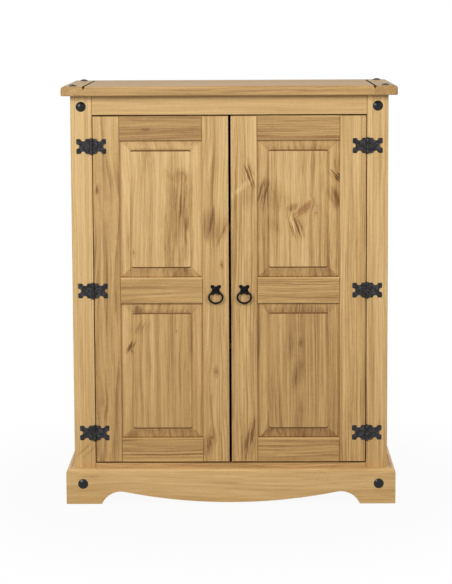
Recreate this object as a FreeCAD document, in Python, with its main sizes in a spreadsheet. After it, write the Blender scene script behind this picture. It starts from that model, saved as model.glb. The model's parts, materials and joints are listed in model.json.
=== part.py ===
import FreeCAD, Part
import math
import os
from collections import namedtuple
from types import SimpleNamespace
import Sketcher

# Driving sizes in millimetres. Each one is a cell of the document's spreadsheet.
SIZES = {
    # Carcass
    "carcass_width": 775.0,
    "carcass_depth": 368.0,
    "carcass_height": 1011.0,
    "side_thickness": 18.0,
    "side_floor_gap": 40.0,
    # Top board and its two breadboard ends
    "top_thickness": 23.0,
    "top_front_overhang": 27.0,
    "top_back_overhang": 5.0,
    "top_side_overhang": 21.0,
    "top_end_width": 55.65,
    "top_tongue_length": 8.0,
    "top_tongue_thickness": 8.0,
    "top_tongue_stop": 25.0,
    "top_line_width": 1.6,
    "top_line_depth": 6.0,
    "top_upper_round": 7.0,
    "top_lower_round": 3.0,
    "top_corner_round": 8.0,
    # Front frame
    "post_width": 51.75,
    "top_rail_height": 47.0,
    "bottom_rail_height": 44.0,
    "bottom_rail_reveal": 10.9,
    "frame_tenon_length": 14.0,
    "frame_tenon_thickness": 9.0,
    "frame_tenon_shoulder": 6.0,
    "joint_clearance": 0.15,
    "arris": 1.2,
    # Floor, back and rear rail of the carcass
    "bottom_board_thickness": 16.0,
    "housing_depth": 6.0,
    "back_panel_thickness": 3.6,
    "back_rebate_width": 10.0,
    "back_panel_clearance": 0.4,
    "rear_rail_height": 50.0,
    "rear_rail_thickness": 18.0,
    "corner_block_width": 40.0,
    # Shelves and their pins
    "shelf_thickness": 16.0,
    "shelf_lower_level": 395.0,
    "shelf_upper_level": 690.0,
    "shelf_setback": 33.0,
    "shelf_back_gap": 3.0,
    "shelf_end_gap": 0.8,
    "shelf_pin_radius": 2.5,
    "shelf_pin_seat": 9.0,
    "shelf_pin_reach": 9.0,
    "shelf_pin_inset": 45.0,
    # Plinth
    "plinth_height": 87.5,
    "plinth_thickness": 20.0,
    "foot_width": 88.0,
    "foot_arc_radius": 51.0,
    "arch_height": 31.0,
    "belly_height": 4.0,
    "bead_height": 8.0,
    "bead_step": 1.5,
    # Doors
    "door_thickness": 20.0,
    "door_hinge_gap": 2.0,
    "door_centre_gap": 6.0,
    "door_end_gap": 3.0,
    "stile_width": 64.0,
    "door_rail_height": 60.0,
    "mid_rail_height": 64.0,
    "panel_groove_width": 7.0,
    "panel_groove_depth": 10.0,
    "panel_groove_inset": 7.5,
    "door_tenon_clearance": 0.1,
    "panel_edge_gap": 0.9,
    "panel_tongue_thickness": 6.4,
    "panel_side_bevel": 25.0,
    "panel_end_bevel": 21.0,
    "panel_ledge": 3.0,
    "panel_field_setback": 1.0,
    "panel_field_step": 3.5,
    "panel_field_corner": 6.0,
    "panel_field_round": 1.0,
    "panel_cove_radius": 5.0,
    # Butterfly hinges
    "hinge_reach": 36.5,
    "hinge_height": 37.0,
    "hinge_crown": 0.9,
    "hinge_end_distance": 73.8,
    "hinge_axis_inset": 1.25,
    "hinge_leaf_thickness": 1.5,
    "hinge_barrel_height": 39.0,
    "knuckle_radius": 3.5,
    "knuckle_lift": 0.2,
    "knuckle_gap": 0.3,
    "hinge_pin_radius": 1.5,
    "hinge_pin_clearance": 0.05,
    "hinge_pin_head_radius": 2.6,
    "hinge_pin_head_height": 1.6,
    "hinge_notch_radius": 6.0,
    "hinge_notch_distance": 19.8,
    "hinge_end_notch_radius": 5.0,
    "hinge_end_notch_inset": 2.2,
    "hinge_lobe_round": 2.0,
    # Round-head screws of the hinges
    "screw_head_radius": 2.7,
    "screw_head_height": 1.3,
    "screw_shank_radius": 1.5,
    "screw_length": 12.0,
    "screw_clearance": 0.1,
    "screw_lobe_inset": 5.8,
    "screw_lobe_drop": 4.6,
    "screw_centre_distance": 20.5,
    # Domed studs
    "stud_radius": 12.4,
    "stud_height": 4.5,
    "stud_shank_radius": 3.0,
    "stud_shank_length": 14.0,
    "stud_clearance": 0.05,
    "post_stud_drop": 27.0,
    "plinth_stud_level": 51.0,
    "plinth_stud_inset": 41.5,
    "top_stud_inset": 27.5,
    "top_stud_setback": 35.0,
    # Ring pulls
    "pull_plate_width": 25.5,
    "pull_plate_height": 24.0,
    "pull_plate_thickness": 2.0,
    "pull_plate_level": 533.0,
    "pull_notch_radius": 5.6,
    "pull_notch_inset": 2.0,
    "pull_lobe_round": 2.4,
    "pull_boss_radius": 6.2,
    "pull_boss_height": 1.4,
    "pull_eye_drop": 4.2,
    "pull_eye_stand": 7.0,
    "pull_eye_radius": 5.0,
    "pull_eye_thickness": 4.4,
    "pull_eye_clearance": 0.3,
    "pull_spigot_radius": 2.5,
    "pull_spigot_length": 14.0,
    "ring_wire_radius": 2.5,
    "ring_width": 38.5,
    "ring_height": 33.2,
    "ring_side_radius": 12.4,
    # Magnetic catches and their strike plates
    "catch_width": 46.0,
    "catch_depth": 13.0,
    "catch_block_height": 16.0,
    "catch_flange_height": 17.0,
    "catch_flange_thickness": 2.6,
    "catch_drop": 3.0,
    "catch_distance": 40.0,
    "catch_round": 3.0,
    "catch_gap": 0.3,
    "strike_thickness": 1.7,
    "strike_width": 34.0,
    "strike_height": 12.0,
    "strike_round": 2.0,
    # Length by which a cutting tool runs past the wood
    "overrun": 4.0,
}

PARTS_FOLDER = "parts"
LEFT_AND_RIGHT = (("left", -1), ("right", 1))
HINGE_NAMES = ("bottom", "middle", "top")
PARALLEL = 1e-4
CUT_SHARE = 1e-7
BOSS_ROUND_SHARE = 0.85
FULL_TURN = 360.0
FIELD_DRAFT = 35.0
KNUCKLES = 3

doc = FreeCAD.newDocument("Cupboard")
sheet = doc.addObject("Spreadsheet::Sheet", "Sizes")
for row, (alias, number) in enumerate(SIZES.items(), start=1):
    sheet.set(f"A{row}", alias)
    sheet.set(f"B{row}", str(number))
    sheet.setAlias(f"B{row}", alias)
doc.recompute()


class Size:
    """A size as its value now and as the formula that binds it to the spreadsheet."""

    def __init__(self, value, formula):
        self.value = value
        self.formula = formula

    def __add__(self, other):
        other = as_size(other)
        return Size(self.value + other.value, f"({self.formula} + {other.formula})")

    def __sub__(self, other):
        other = as_size(other)
        return Size(self.value - other.value, f"({self.formula} - {other.formula})")

    def __mul__(self, other):
        other = as_size(other)
        return Size(self.value * other.value, f"({self.formula} * {other.formula})")

    def __truediv__(self, other):
        other = as_size(other)
        return Size(self.value / other.value, f"({self.formula} / {other.formula})")

    def __neg__(self):
        return self * -1

    def __rmul__(self, other):
        return self * other

    def root(self):
        """The square root of the size."""
        return Size(math.sqrt(self.value), f"sqrt({self.formula})")


def as_size(number):
    """Give a plain count or zero the form of a size."""
    if isinstance(number, Size):
        return number
    return Size(float(number), f"({float(number)})")


size = SimpleNamespace()
for alias in SIZES:
    setattr(size, alias, Size(float(sheet.get(alias)), f"Sizes.{alias}"))
ZERO = as_size(0)
ONE = as_size(1)

# Places that several pieces share. The front faces -Y, and Z is the height above the floor.
total_depth = size.carcass_depth + size.top_front_overhang + size.top_back_overhang
top_front = -total_depth / 2
top_back = total_depth / 2
front = top_front + size.top_front_overhang
back = top_back - size.top_back_overhang
frame_thickness = size.door_thickness + size.strike_thickness + size.catch_gap
frame_back = front + frame_thickness
half_width = size.carcass_width / 2
side_inner = half_width - size.side_thickness
post_inner = half_width - size.post_width
top_under = size.carcass_height
top_face = top_under + size.top_thickness
top_end = half_width + size.top_side_overhang
top_joint = top_end - size.top_end_width
top_rail_under = top_under - size.top_rail_height
floor_level = size.plinth_height + size.bottom_rail_reveal
floor_under = floor_level - size.bottom_board_thickness
back_panel_depth = size.back_panel_thickness + size.back_panel_clearance
back_panel_front = back - back_panel_depth
plinth_end = half_width + size.plinth_thickness
plinth_front_face = front - size.plinth_thickness
door_back = front + size.door_thickness
door_bottom = floor_level + size.door_end_gap
door_top = top_rail_under - size.door_end_gap
door_middle = (door_bottom + door_top) / 2
door_hinge_edge = post_inner - size.door_hinge_gap
door_meeting_edge = size.door_centre_gap / 2
stile_inner = door_hinge_edge - size.stile_width
meeting_inner = door_meeting_edge + size.stile_width
groove_front = front + size.panel_groove_inset
groove_back = groove_front + size.panel_groove_width
hinge_axis_x = post_inner + size.hinge_axis_inset
hinge_axis_y = front - size.knuckle_radius - size.knuckle_lift
hinge_levels = (
    door_bottom + size.hinge_end_distance,
    door_middle,
    door_top - size.hinge_end_distance,
)
stud_level = top_under - size.post_stud_drop
post_stud_x = half_width - size.post_width / 2
plinth_stud_x = plinth_end - size.plinth_stud_inset
top_stud_x = top_end - size.top_stud_inset
pull_x = door_meeting_edge + size.stile_width / 2
eye_level = size.pull_plate_level - size.pull_eye_drop
eye_y = front - size.pull_eye_stand

# A corner is a pair (across, up), or (across, up, radius) where the outline leaves it in an arc:
# to the left for a positive radius and to the right for a negative one.
Circle = namedtuple("Circle", "across up radius")


def bind(thing, path, amount):
    """Tie a property of a feature to its formula."""
    thing.setExpression(path, as_size(amount).formula)


def rectangle(left, low, right, high):
    """The four corners of a rectangle."""
    return [(left, low), (right, low), (right, high), (left, high)]


def rounded_rectangle(left, low, right, high, radius):
    """A rectangle with round corners."""
    return [
        (left + radius, low),
        (right - radius, low, radius),
        (right, low + radius),
        (right, high - radius, radius),
        (right - radius, high),
        (left + radius, high, radius),
        (left, high - radius),
        (left, low + radius, radius),
    ]


def point(corner):
    """A corner's place now, in the plane of its sketch."""
    return FreeCAD.Vector(as_size(corner[0]).value, as_size(corner[1]).value, 0)


def arc_between(start, end, radius):
    """The arc that turns left for a positive radius and right for a negative one."""
    chord = end - start
    left = FreeCAD.Vector(-chord.y, chord.x, 0).normalize()
    reach = math.sqrt(max(radius ** 2 - (chord.Length / 2) ** 2, 0))
    centre = start + chord / 2 + left * math.copysign(reach, radius)
    first, last = (start, end) if radius > 0 else (end, start)
    circle = Part.Circle(centre, FreeCAD.Vector(0, 0, 1), abs(radius))
    angles = [math.atan2(place.y - centre.y, place.x - centre.x) for place in (first, last)]
    return Part.ArcOfCircle(circle, angles[0], angles[1])


def pin_down(sketch, edge, end, corner):
    """Hold one end of an edge at its corner."""
    for kind, amount in (("DistanceX", corner[0]), ("DistanceY", corner[1])):
        amount = as_size(amount)
        rule = sketch.addConstraint(Sketcher.Constraint(kind, -1, 1, edge, end, amount.value))
        sketch.setExpression(f"Constraints[{rule}]", amount.formula)


def hold_radius(sketch, edge, radius):
    """Give an arc or a circle its radius."""
    if radius.value < 0:
        radius = -radius
    rule = sketch.addConstraint(Sketcher.Constraint("Radius", edge, radius.value))
    sketch.setExpression(f"Constraints[{rule}]", radius.formula)


def draw(sketch, shape):
    """Draw a circle or a closed outline of straight and round runs, fully constrained."""
    first = sketch.GeometryCount
    if isinstance(shape, Circle):
        centre = point(shape)
        circle = Part.Circle(centre, FreeCAD.Vector(0, 0, 1), shape.radius.value)
        sketch.addGeometry(circle, False)
        pin_down(sketch, first, 3, shape)
        hold_radius(sketch, first, shape.radius)
        return
    count = len(shape)
    starts = []
    for index, corner in enumerate(shape):
        here = point(corner)
        there = point(shape[(index + 1) % count])
        if len(corner) == 3:
            run = arc_between(here, there, corner[2].value)
            starts.append(1 if corner[2].value > 0 else 2)
        else:
            run = Part.LineSegment(here, there)
            starts.append(1)
        sketch.addGeometry(run, False)
    for index, corner in enumerate(shape):
        edge = first + index
        following = (index + 1) % count
        pin_down(sketch, edge, starts[index], corner)
        link = ("Coincident", edge, 3 - starts[index], first + following, starts[following])
        sketch.addConstraint(Sketcher.Constraint(*link))
        if len(corner) == 3:
            hold_radius(sketch, edge, corner[2])


def new_body(label):
    """An empty body for one piece of the cupboard."""
    body = doc.addObject("PartDesign::Body", label)
    body.Label = label
    return body


def sketch_on(body, plane, level, name):
    """A sketch on one of the body's own origin planes, moved to a level along its normal."""
    sketch = body.newObject("Sketcher::SketchObject", name)
    role = plane + "_Plane"
    base = next(item for item in body.Origin.OriginFeatures if item.Role == role)
    sketch.AttachmentSupport = (base, "")
    sketch.MapMode = "FlatFace"
    bind(sketch, "AttachmentOffset.Base.z", -level if plane == "XZ" else level)
    return sketch


def extrude(body, kind, name, plane, low, high, shapes):
    """Pad or pocket sketched shapes between two levels of the axis square to their plane."""
    low, high = sorted((as_size(low), as_size(high)), key=lambda level: level.value)
    starts_high = (kind == "Pad") == (plane == "XZ")
    sketch = sketch_on(body, plane, high if starts_high else low, name + "Sketch")
    for shape in shapes:
        draw(sketch, shape)
    feature = body.newObject("PartDesign::" + kind, name)
    feature.Profile = sketch
    bind(feature, "Length", high - low)
    body.Tip = feature
    return feature


def pad(body, name, plane, low, high, *shapes):
    """Add material."""
    return extrude(body, "Pad", name, plane, low, high, shapes)


def pocket(body, name, plane, low, high, *shapes):
    """Cut material away."""
    return extrude(body, "Pocket", name, plane, low, high, shapes)


def revolve(body, name, corners):
    """Turn an outline drawn beside the Z axis about that axis."""
    sketch = sketch_on(body, "XZ", ZERO, name + "Sketch")
    draw(sketch, corners)
    feature = body.newObject("PartDesign::Revolution", name)
    feature.Profile = sketch
    feature.ReferenceAxis = (sketch, ["V_Axis"])
    feature.Angle = FULL_TURN
    body.Tip = feature
    return feature


def edge_matches(edge, along, levels):
    """Whether an edge lies at the levels given and, if an axis is named, runs along it."""
    box = edge.BoundBox
    spans = {"x": (box.XMin, box.XMax), "y": (box.YMin, box.YMax), "z": (box.ZMin, box.ZMax)}
    for axis, level in levels.items():
        if any(abs(end - as_size(level).value) > PARALLEL for end in spans[axis]):
            return False
    if along is None:
        return True
    others = [spans[axis] for axis in "xyz" if axis != along]
    return all(high - low < PARALLEL for low, high in others)


def dress(body, kind, amount, *choices):
    """Round or bevel the edges of the body's tip that match any of the choices."""
    doc.recompute()
    base = body.Tip
    names = []
    for number, edge in enumerate(base.Shape.Edges, start=1):
        for choice in choices:
            levels = {axis: level for axis, level in choice.items() if axis != "along"}
            if edge_matches(edge, choice.get("along"), levels):
                names.append(f"Edge{number}")
                break
    if not names:
        raise RuntimeError(f"{body.Label}: no edge to dress")
    feature = body.newObject("PartDesign::" + kind, kind)
    feature.Base = (base, names)
    bind(feature, "Radius" if kind == "Fillet" else "Size", amount)
    body.Tip = feature
    return feature


def fillet(body, radius, *choices):
    """Round edges."""
    return dress(body, "Fillet", radius, *choices)


def chamfer(body, amount, *choices):
    """Bevel edges."""
    return dress(body, "Chamfer", amount, *choices)


def place(thing, x, y, z, axis=None, angle=0):
    """Put a piece at a place given by formulas, turned about an axis."""
    turn = FreeCAD.Rotation(axis, angle) if axis else FreeCAD.Rotation()
    here = [as_size(amount).value for amount in (x, y, z)]
    thing.Placement = FreeCAD.Placement(FreeCAD.Vector(*here), turn)
    for name, amount in (("x", x), ("y", y), ("z", z)):
        bind(thing, "Placement.Base." + name, amount)


def group(label, master, places):
    """A set of like pieces: linked copies of one body. A place is (x, y, z, axis, angle)."""
    copies = []
    for where in places:
        copy = doc.addObject("App::Link", label + "_copy")
        copy.LinkedObject = master
        place(copy, *where)
        copies.append(copy)
    compound = doc.addObject("Part::Compound", label)
    compound.Label = label
    compound.Links = copies
    return compound


ALONG_X = FreeCAD.Vector(1, 0, 0)
ALONG_Y = FreeCAD.Vector(0, 1, 0)
TO_FRONT = (ALONG_X, 90)
UPRIGHT = (ALONG_X, 0)


# Top: a main board and two breadboard ends

top_tongue_low = top_under + (size.top_thickness - size.top_tongue_thickness) / 2
top_tongue_high = top_tongue_low + size.top_tongue_thickness
top_line_bottom = top_face - size.top_line_depth


def top_line(side):
    """Section of the narrow line cut along the joint between board and end."""
    joint = side * top_joint
    return [
        (joint - size.top_line_width, top_face),
        (joint, top_line_bottom),
        (joint + size.top_line_width, top_face),
        (joint + size.top_line_width, top_face + size.overrun),
        (joint - size.top_line_width, top_face + size.overrun),
    ]


def make_top_board():
    """The main board, with a stopped tongue on each end."""
    body = new_body("top_board")
    board = rectangle(-top_joint, top_front, top_joint, top_back)
    pad(body, "Board", "XY", top_under, top_face, board)
    tongue_end = top_joint + size.top_tongue_length
    stop = size.top_tongue_stop
    tongues = rectangle(-tongue_end, top_front + stop, tongue_end, top_back - stop)
    pad(body, "Tongues", "XY", top_tongue_low, top_tongue_high, tongues)
    upper = [dict(along="x", y=edge, z=top_face) for edge in (top_front, top_back)]
    fillet(body, size.top_upper_round, *upper)
    lower = [dict(along="x", y=edge, z=top_under) for edge in (top_front, top_back)]
    fillet(body, size.top_lower_round, *lower)
    lines = [top_line(side) for name, side in LEFT_AND_RIGHT]
    pocket(body, "JointLines", "XZ", top_front - size.overrun, top_back + size.overrun, *lines)
    return body


def make_top_end(name, side):
    """A breadboard end, rounded on its three free sides and grooved for the tongue."""
    body = new_body("top_end_" + name)
    outer = side * top_end
    joint = side * top_joint
    board = rectangle(joint, top_front, outer, top_back)
    pad(body, "Board", "XY", top_under, top_face, board)
    fillet(body, size.top_corner_round, dict(along="z", x=outer))
    for radius, level in ((size.top_upper_round, top_face), (size.top_lower_round, top_under)):
        sides = [dict(along="x", y=edge, z=level) for edge in (top_front, top_back)]
        fillet(body, radius, dict(along="y", x=outer, z=level), *sides)
    gap = size.joint_clearance
    stop = size.top_tongue_stop - gap
    groove_end = joint + side * (size.top_tongue_length + gap)
    groove = rectangle(joint - side * size.overrun, top_front + stop, groove_end, top_back - stop)
    pocket(body, "Groove", "XY", top_tongue_low - gap, top_tongue_high + gap, groove)
    pocket(body, "JointLine", "XZ", top_front - size.overrun, top_back + size.overrun, top_line(side))
    hole_radius = size.stud_shank_radius + size.stud_clearance
    holes = [
        Circle(side * top_stud_x, level, hole_radius)
        for level in (top_front + size.top_stud_setback, top_back - size.top_stud_setback)
    ]
    depth = size.stud_shank_length + size.stud_clearance
    pocket(body, "StudHoles", "XY", top_face - depth, top_face, *holes)
    return body


# Front frame: two posts and two rails

tenon_front = front + (frame_thickness - size.frame_tenon_thickness) / 2
tenon_back = tenon_front + size.frame_tenon_thickness
bottom_rail_under = floor_level - size.bottom_rail_height


def rail_tenon_levels(low, high):
    """Lowest and highest level of the tenon of a rail that spans the levels given."""
    return low + size.frame_tenon_shoulder, high - size.frame_tenon_shoulder


def screw_places(leaf_side):
    """Screw centres of one hinge leaf, as (distance from the pin, height above its middle)."""
    lobe_x = size.hinge_reach - size.screw_lobe_inset
    lobe_z = size.hinge_height / 2 - size.screw_lobe_drop
    centres = ((lobe_x, lobe_z), (lobe_x, -lobe_z), (size.screw_centre_distance, ZERO))
    return [(leaf_side * across, up) for across, up in centres]


def pilot_holes(side, leaf_side):
    """Screw holes of the three leaves that a post or a stile carries."""
    radius = size.screw_shank_radius + size.screw_clearance
    return [
        Circle(side * hinge_axis_x + across, level + up, radius)
        for level in hinge_levels
        for across, up in screw_places(leaf_side)
    ]


pilot_depth = size.screw_length - size.hinge_leaf_thickness + size.screw_clearance


def make_post(name, side):
    """A front post, mortised for both rails and bored for its stud and hinge screws."""
    body = new_body("front_post_" + name)
    inner = side * post_inner
    outline = rectangle(inner, front, side * half_width, frame_back)
    pad(body, "Post", "XY", ZERO, top_under, outline)
    front_edges = [dict(along="z", x=edge, y=front) for edge in (inner, side * half_width)]
    chamfer(body, size.arris, *front_edges)
    gap = size.joint_clearance
    mortise_end = inner + side * (size.frame_tenon_length + gap)
    mortises = []
    for rail in ((top_rail_under, top_under), (bottom_rail_under, floor_level)):
        low, high = rail_tenon_levels(*rail)
        mortises.append(rectangle(inner - side * size.overrun, low - gap, mortise_end, high + gap))
    pocket(body, "Mortises", "XZ", tenon_front - gap, tenon_back + gap, *mortises)
    stud_hole = Circle(side * post_stud_x, stud_level, size.stud_shank_radius + size.stud_clearance)
    stud_depth = size.stud_shank_length + size.stud_clearance
    pocket(body, "StudHole", "XZ", front, front + stud_depth, stud_hole)
    pocket(body, "ScrewHoles", "XZ", front, front + pilot_depth, *pilot_holes(side, side))
    return body


def make_rail(label, low, high):
    """A rail between the posts, with a stub tenon on each end."""
    body = new_body(label)
    pad(body, "Rail", "XY", low, high, rectangle(-post_inner, front, post_inner, frame_back))
    ends = [dict(along="z", x=side * post_inner, y=front) for name, side in LEFT_AND_RIGHT]
    chamfer(body, size.arris, *ends)
    tenon_end = post_inner + size.frame_tenon_length
    tenon_low, tenon_high = rail_tenon_levels(low, high)
    tenons = rectangle(-tenon_end, tenon_front, tenon_end, tenon_back)
    pad(body, "Tenons", "XY", tenon_low, tenon_high, tenons)
    return body


# Sides, floor, back and rear rail

floor_back = back_panel_front
housing_end = side_inner + size.housing_depth
shelf_front = front + size.shelf_setback
shelf_back = back_panel_front - size.shelf_back_gap
pin_rows = (shelf_front + size.shelf_pin_inset, shelf_back - size.shelf_pin_inset)
shelf_levels = (size.shelf_lower_level, size.shelf_upper_level)
pin_gap = size.joint_clearance


def pin_level(shelf_level):
    """Height of the axis of the pins under a shelf."""
    return shelf_level - size.shelf_thickness - size.shelf_pin_radius


def make_side(name, side):
    """A side of the carcass, housed for the floor, rebated for the back and bored for pins."""
    body = new_body("side_panel_" + name)
    inner = side * side_inner
    outline = rectangle(inner, frame_back, side * half_width, back)
    pad(body, "Side", "XY", size.side_floor_gap, top_under, outline)
    rebate_end = inner + side * size.back_rebate_width
    clear = back + size.overrun
    rebate = rectangle(inner - side * size.overrun, back_panel_front, rebate_end, clear)
    low = size.side_floor_gap - size.overrun
    pocket(body, "BackRebate", "XY", low, top_under + size.overrun, rebate)
    gap = size.joint_clearance
    housing = rectangle(
        inner - side * size.overrun,
        frame_back - size.overrun,
        side * (housing_end + gap),
        floor_back + gap,
    )
    pocket(body, "FloorHousing", "XY", floor_under - gap, floor_level + gap, housing)
    holes = [
        Circle(across, pin_level(level), size.shelf_pin_radius + pin_gap)
        for level in shelf_levels
        for across in pin_rows
    ]
    hole_end = inner + side * (size.shelf_pin_seat + pin_gap)
    pocket(body, "PinHoles", "YZ", inner, hole_end, *holes)
    return body


def make_bottom_board():
    """The cupboard's floor, let into both sides."""
    body = new_body("bottom_board")
    outline = rectangle(-housing_end, frame_back, housing_end, floor_back)
    pad(body, "Floor", "XY", floor_under, floor_level, outline)
    return body


def make_back_panel():
    """The thin back, in the rebates of the sides."""
    body = new_body("back_panel")
    edge = side_inner + size.back_rebate_width - size.back_panel_clearance
    high = top_under - size.back_panel_clearance
    outline = rectangle(-edge, floor_under, edge, high)
    panel_back = back_panel_front + size.back_panel_thickness
    pad(body, "Panel", "XZ", back_panel_front, panel_back, outline)
    return body


def make_rear_rail():
    """The rail that ties the sides together under the back of the top."""
    body = new_body("rear_rail")
    rail_front = back_panel_front - size.rear_rail_thickness
    low = top_under - size.rear_rail_height
    outline = rectangle(-side_inner, rail_front, side_inner, back_panel_front)
    pad(body, "Rail", "XY", low, top_under, outline)
    chamfer(body, size.arris, dict(along="x", y=rail_front, z=low))
    return body


def make_shelf(label, level):
    """A loose shelf with an eased front edge."""
    body = new_body(label)
    edge = side_inner - size.shelf_end_gap
    low = level - size.shelf_thickness
    pad(body, "Shelf", "XY", low, level, rectangle(-edge, shelf_front, edge, shelf_back))
    arrises = [dict(along="x", y=shelf_front, z=height) for height in (low, level)]
    chamfer(body, size.arris, *arrises)
    return body


def make_shelf_pins():
    """Eight round pins, two under each end of both shelves."""
    master = new_body("shelf_pin")
    pad(master, "Pin", "YZ", -size.shelf_pin_reach, size.shelf_pin_seat,
        Circle(ZERO, ZERO, size.shelf_pin_radius))
    places = []
    for name, side in LEFT_AND_RIGHT:
        turn = (ALONG_Y, 0 if side > 0 else 180)
        for level in shelf_levels:
            for row_y in pin_rows:
                places.append((side * side_inner, row_y, pin_level(level)) + turn)
    return group("shelf_pins", master, places)


def make_corner_blocks():
    """Four blocks under the floor, glued into the corners of the carcass."""
    master = new_body("corner_block")
    width = size.corner_block_width
    pad(master, "Block", "XY", ZERO, floor_under, rectangle(ZERO, ZERO, width, width))
    chamfer(master, size.arris, dict(along="z", x=width, y=width))
    places = []
    for name, side in LEFT_AND_RIGHT:
        for block_y, faces_back in ((frame_back, True), (back_panel_front, False)):
            angle = 0 if side < 0 and faces_back else 90 if faces_back else 180 if side > 0 else 270
            turn = (FreeCAD.Vector(0, 0, 1), angle)
            places.append((side * side_inner, block_y, ZERO) + turn)
    return group("corner_blocks", master, places)


# Plinth: a shaped front board and two shaped side boards, mitred and with a bead on top

bead_radius = size.bead_height - size.bead_step
arc_centre_level = size.arch_height - size.foot_arc_radius
foot_run = (size.foot_arc_radius * size.foot_arc_radius - arc_centre_level * arc_centre_level).root()
bead_low = size.plinth_height - size.bead_height


def bead_cut(face, outward):
    """Section cut from the top outer edge of a board whose face lies at the level given."""
    clear = face + outward * size.overrun
    shoulder = face - outward * size.bead_step
    top = size.plinth_height
    return [
        (clear, bead_low),
        (shoulder, bead_low),
        (shoulder, top - bead_radius, outward * bead_radius),
        (shoulder - outward * bead_radius, top),
        (clear, top),
    ]


def make_plinth_front():
    """The front board: feet at its ends, and between them two arches that meet in a belly."""
    body = new_body("plinth_front")
    foot = plinth_end - size.foot_width
    peak = foot - foot_run
    fall = (size.arch_height - size.belly_height) / peak
    turn_sine = 2 * fall / (fall * fall + 1)
    turn_cosine = (ONE - fall * fall) / (fall * fall + 1)
    belly_radius = peak / turn_sine - size.foot_arc_radius
    join_x = peak - size.foot_arc_radius * turn_sine
    join_z = arc_centre_level + size.foot_arc_radius * turn_cosine
    outline = [
        (-plinth_end, ZERO),
        (-foot, ZERO, -size.foot_arc_radius),
        (-peak, size.arch_height, -size.foot_arc_radius),
        (-join_x, join_z, belly_radius),
        (ZERO, size.belly_height, belly_radius),
        (join_x, join_z, -size.foot_arc_radius),
        (peak, size.arch_height, -size.foot_arc_radius),
        (foot, ZERO),
        (plinth_end, ZERO),
        (plinth_end, size.plinth_height),
        (-plinth_end, size.plinth_height),
    ]
    pad(body, "Board", "XZ", plinth_front_face, front, outline)
    reach = plinth_end + size.overrun
    pocket(body, "Bead", "YZ", -reach, reach, bead_cut(plinth_front_face, -1))
    mitres = []
    for name, side in LEFT_AND_RIGHT:
        mitres.append([
            (side * reach, plinth_front_face - size.overrun),
            (side * reach, front + size.overrun),
            (side * (half_width - size.overrun), front + size.overrun),
        ])
    pocket(body, "Mitres", "XY", -size.overrun, size.plinth_height + size.overrun, *mitres)
    radius = size.stud_shank_radius + size.stud_clearance
    holes = [
        Circle(side * plinth_stud_x, size.plinth_stud_level, radius)
        for name, side in LEFT_AND_RIGHT
    ]
    depth = size.stud_shank_length + size.stud_clearance
    pocket(body, "StudHoles", "XZ", plinth_front_face, plinth_front_face + depth, *holes)
    return body


def make_plinth_side(name, side):
    """A side board: a foot at each end and one low arch between them."""
    body = new_body("plinth_side_" + name)
    front_foot = plinth_front_face + size.foot_width
    rear_foot = back - size.foot_width
    outline = [
        (plinth_front_face, ZERO),
        (front_foot, ZERO, -size.foot_arc_radius),
        (front_foot + foot_run, size.arch_height),
        (rear_foot - foot_run, size.arch_height, -size.foot_arc_radius),
        (rear_foot, ZERO),
        (back, ZERO),
        (back, size.plinth_height),
        (plinth_front_face, size.plinth_height),
    ]
    pad(body, "Board", "YZ", side * half_width, side * plinth_end, outline)
    ends = (plinth_front_face - size.overrun, back + size.overrun)
    pocket(body, "Bead", "XZ", *ends, bead_cut(side * plinth_end, side))
    mitre = [
        (side * (plinth_end + size.overrun), plinth_front_face - size.overrun),
        (side * (half_width - size.overrun), plinth_front_face - size.overrun),
        (side * (half_width - size.overrun), front + size.overrun),
    ]
    pocket(body, "Mitre", "XY", -size.overrun, size.plinth_height + size.overrun, mitre)
    return body


# Doors: two stiles, three rails and two raised panels each

mid_rail_low = door_middle - size.mid_rail_height / 2
mid_rail_high = door_middle + size.mid_rail_height / 2
bottom_rail_high = door_bottom + size.door_rail_height
top_rail_low = door_top - size.door_rail_height


def make_stile(label, side, outer, inner, leaf_holes, pull_hole):
    """A door stile, grooved along the edge that faces the panels."""
    body = new_body(label)
    outline = rectangle(side * outer, front, side * inner, door_back)
    pad(body, "Stile", "XY", door_bottom, door_top, outline)
    chamfer(
        body,
        size.arris,
        dict(along="z", x=side * outer, y=front),
        dict(along="z", x=side * inner, y=front),
        dict(along="x", y=front, z=door_bottom),
        dict(along="x", y=front, z=door_top),
    )
    inward = 1 if outer.value > inner.value else -1
    groove_end = inner + inward * size.panel_groove_depth
    clear = inner - inward * size.overrun
    groove = rectangle(side * clear, groove_front, side * groove_end, groove_back)
    low, high = door_bottom - size.overrun, door_top + size.overrun
    pocket(body, "PanelGroove", "XY", low, high, groove)
    if leaf_holes:
        pocket(body, "ScrewHoles", "XZ", front, front + pilot_depth, *leaf_holes)
    if pull_hole:
        depth = size.pull_spigot_length + size.screw_clearance
        pocket(body, "PullHole", "XZ", front, front + depth, pull_hole)
    return body


def make_door_rail(label, side, low, high, groove_edges):
    """A door rail between the stiles, its tenons as thick as the grooves they fill."""
    body = new_body(label)
    ends = (side * meeting_inner, side * stile_inner)
    pad(body, "Rail", "XY", low, high, rectangle(ends[0], front, ends[1], door_back))
    lengthwise = [dict(along="x", y=front, z=level) for level in (low, high)]
    upright = [dict(along="z", x=end, y=front) for end in ends]
    chamfer(body, size.arris, *lengthwise, *upright)
    gap = size.door_tenon_clearance
    tenon = size.panel_groove_depth - gap
    tenon_ends = (side * (meeting_inner - tenon), side * (stile_inner + tenon))
    tenons = rectangle(tenon_ends[0], groove_front + gap, tenon_ends[1], groove_back - gap)
    pad(body, "Tenons", "XY", low, high, tenons)
    for edge, direction in groove_edges:
        bottom = edge + direction * size.panel_groove_depth
        clear = edge - direction * size.overrun
        reach = (ends[0] - side * size.stile_width, ends[1] + side * size.stile_width)
        groove = rectangle(reach[0], groove_front, reach[1], groove_back)
        pocket(body, "PanelGroove", "XY", clear, bottom, groove)
    return body


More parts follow.
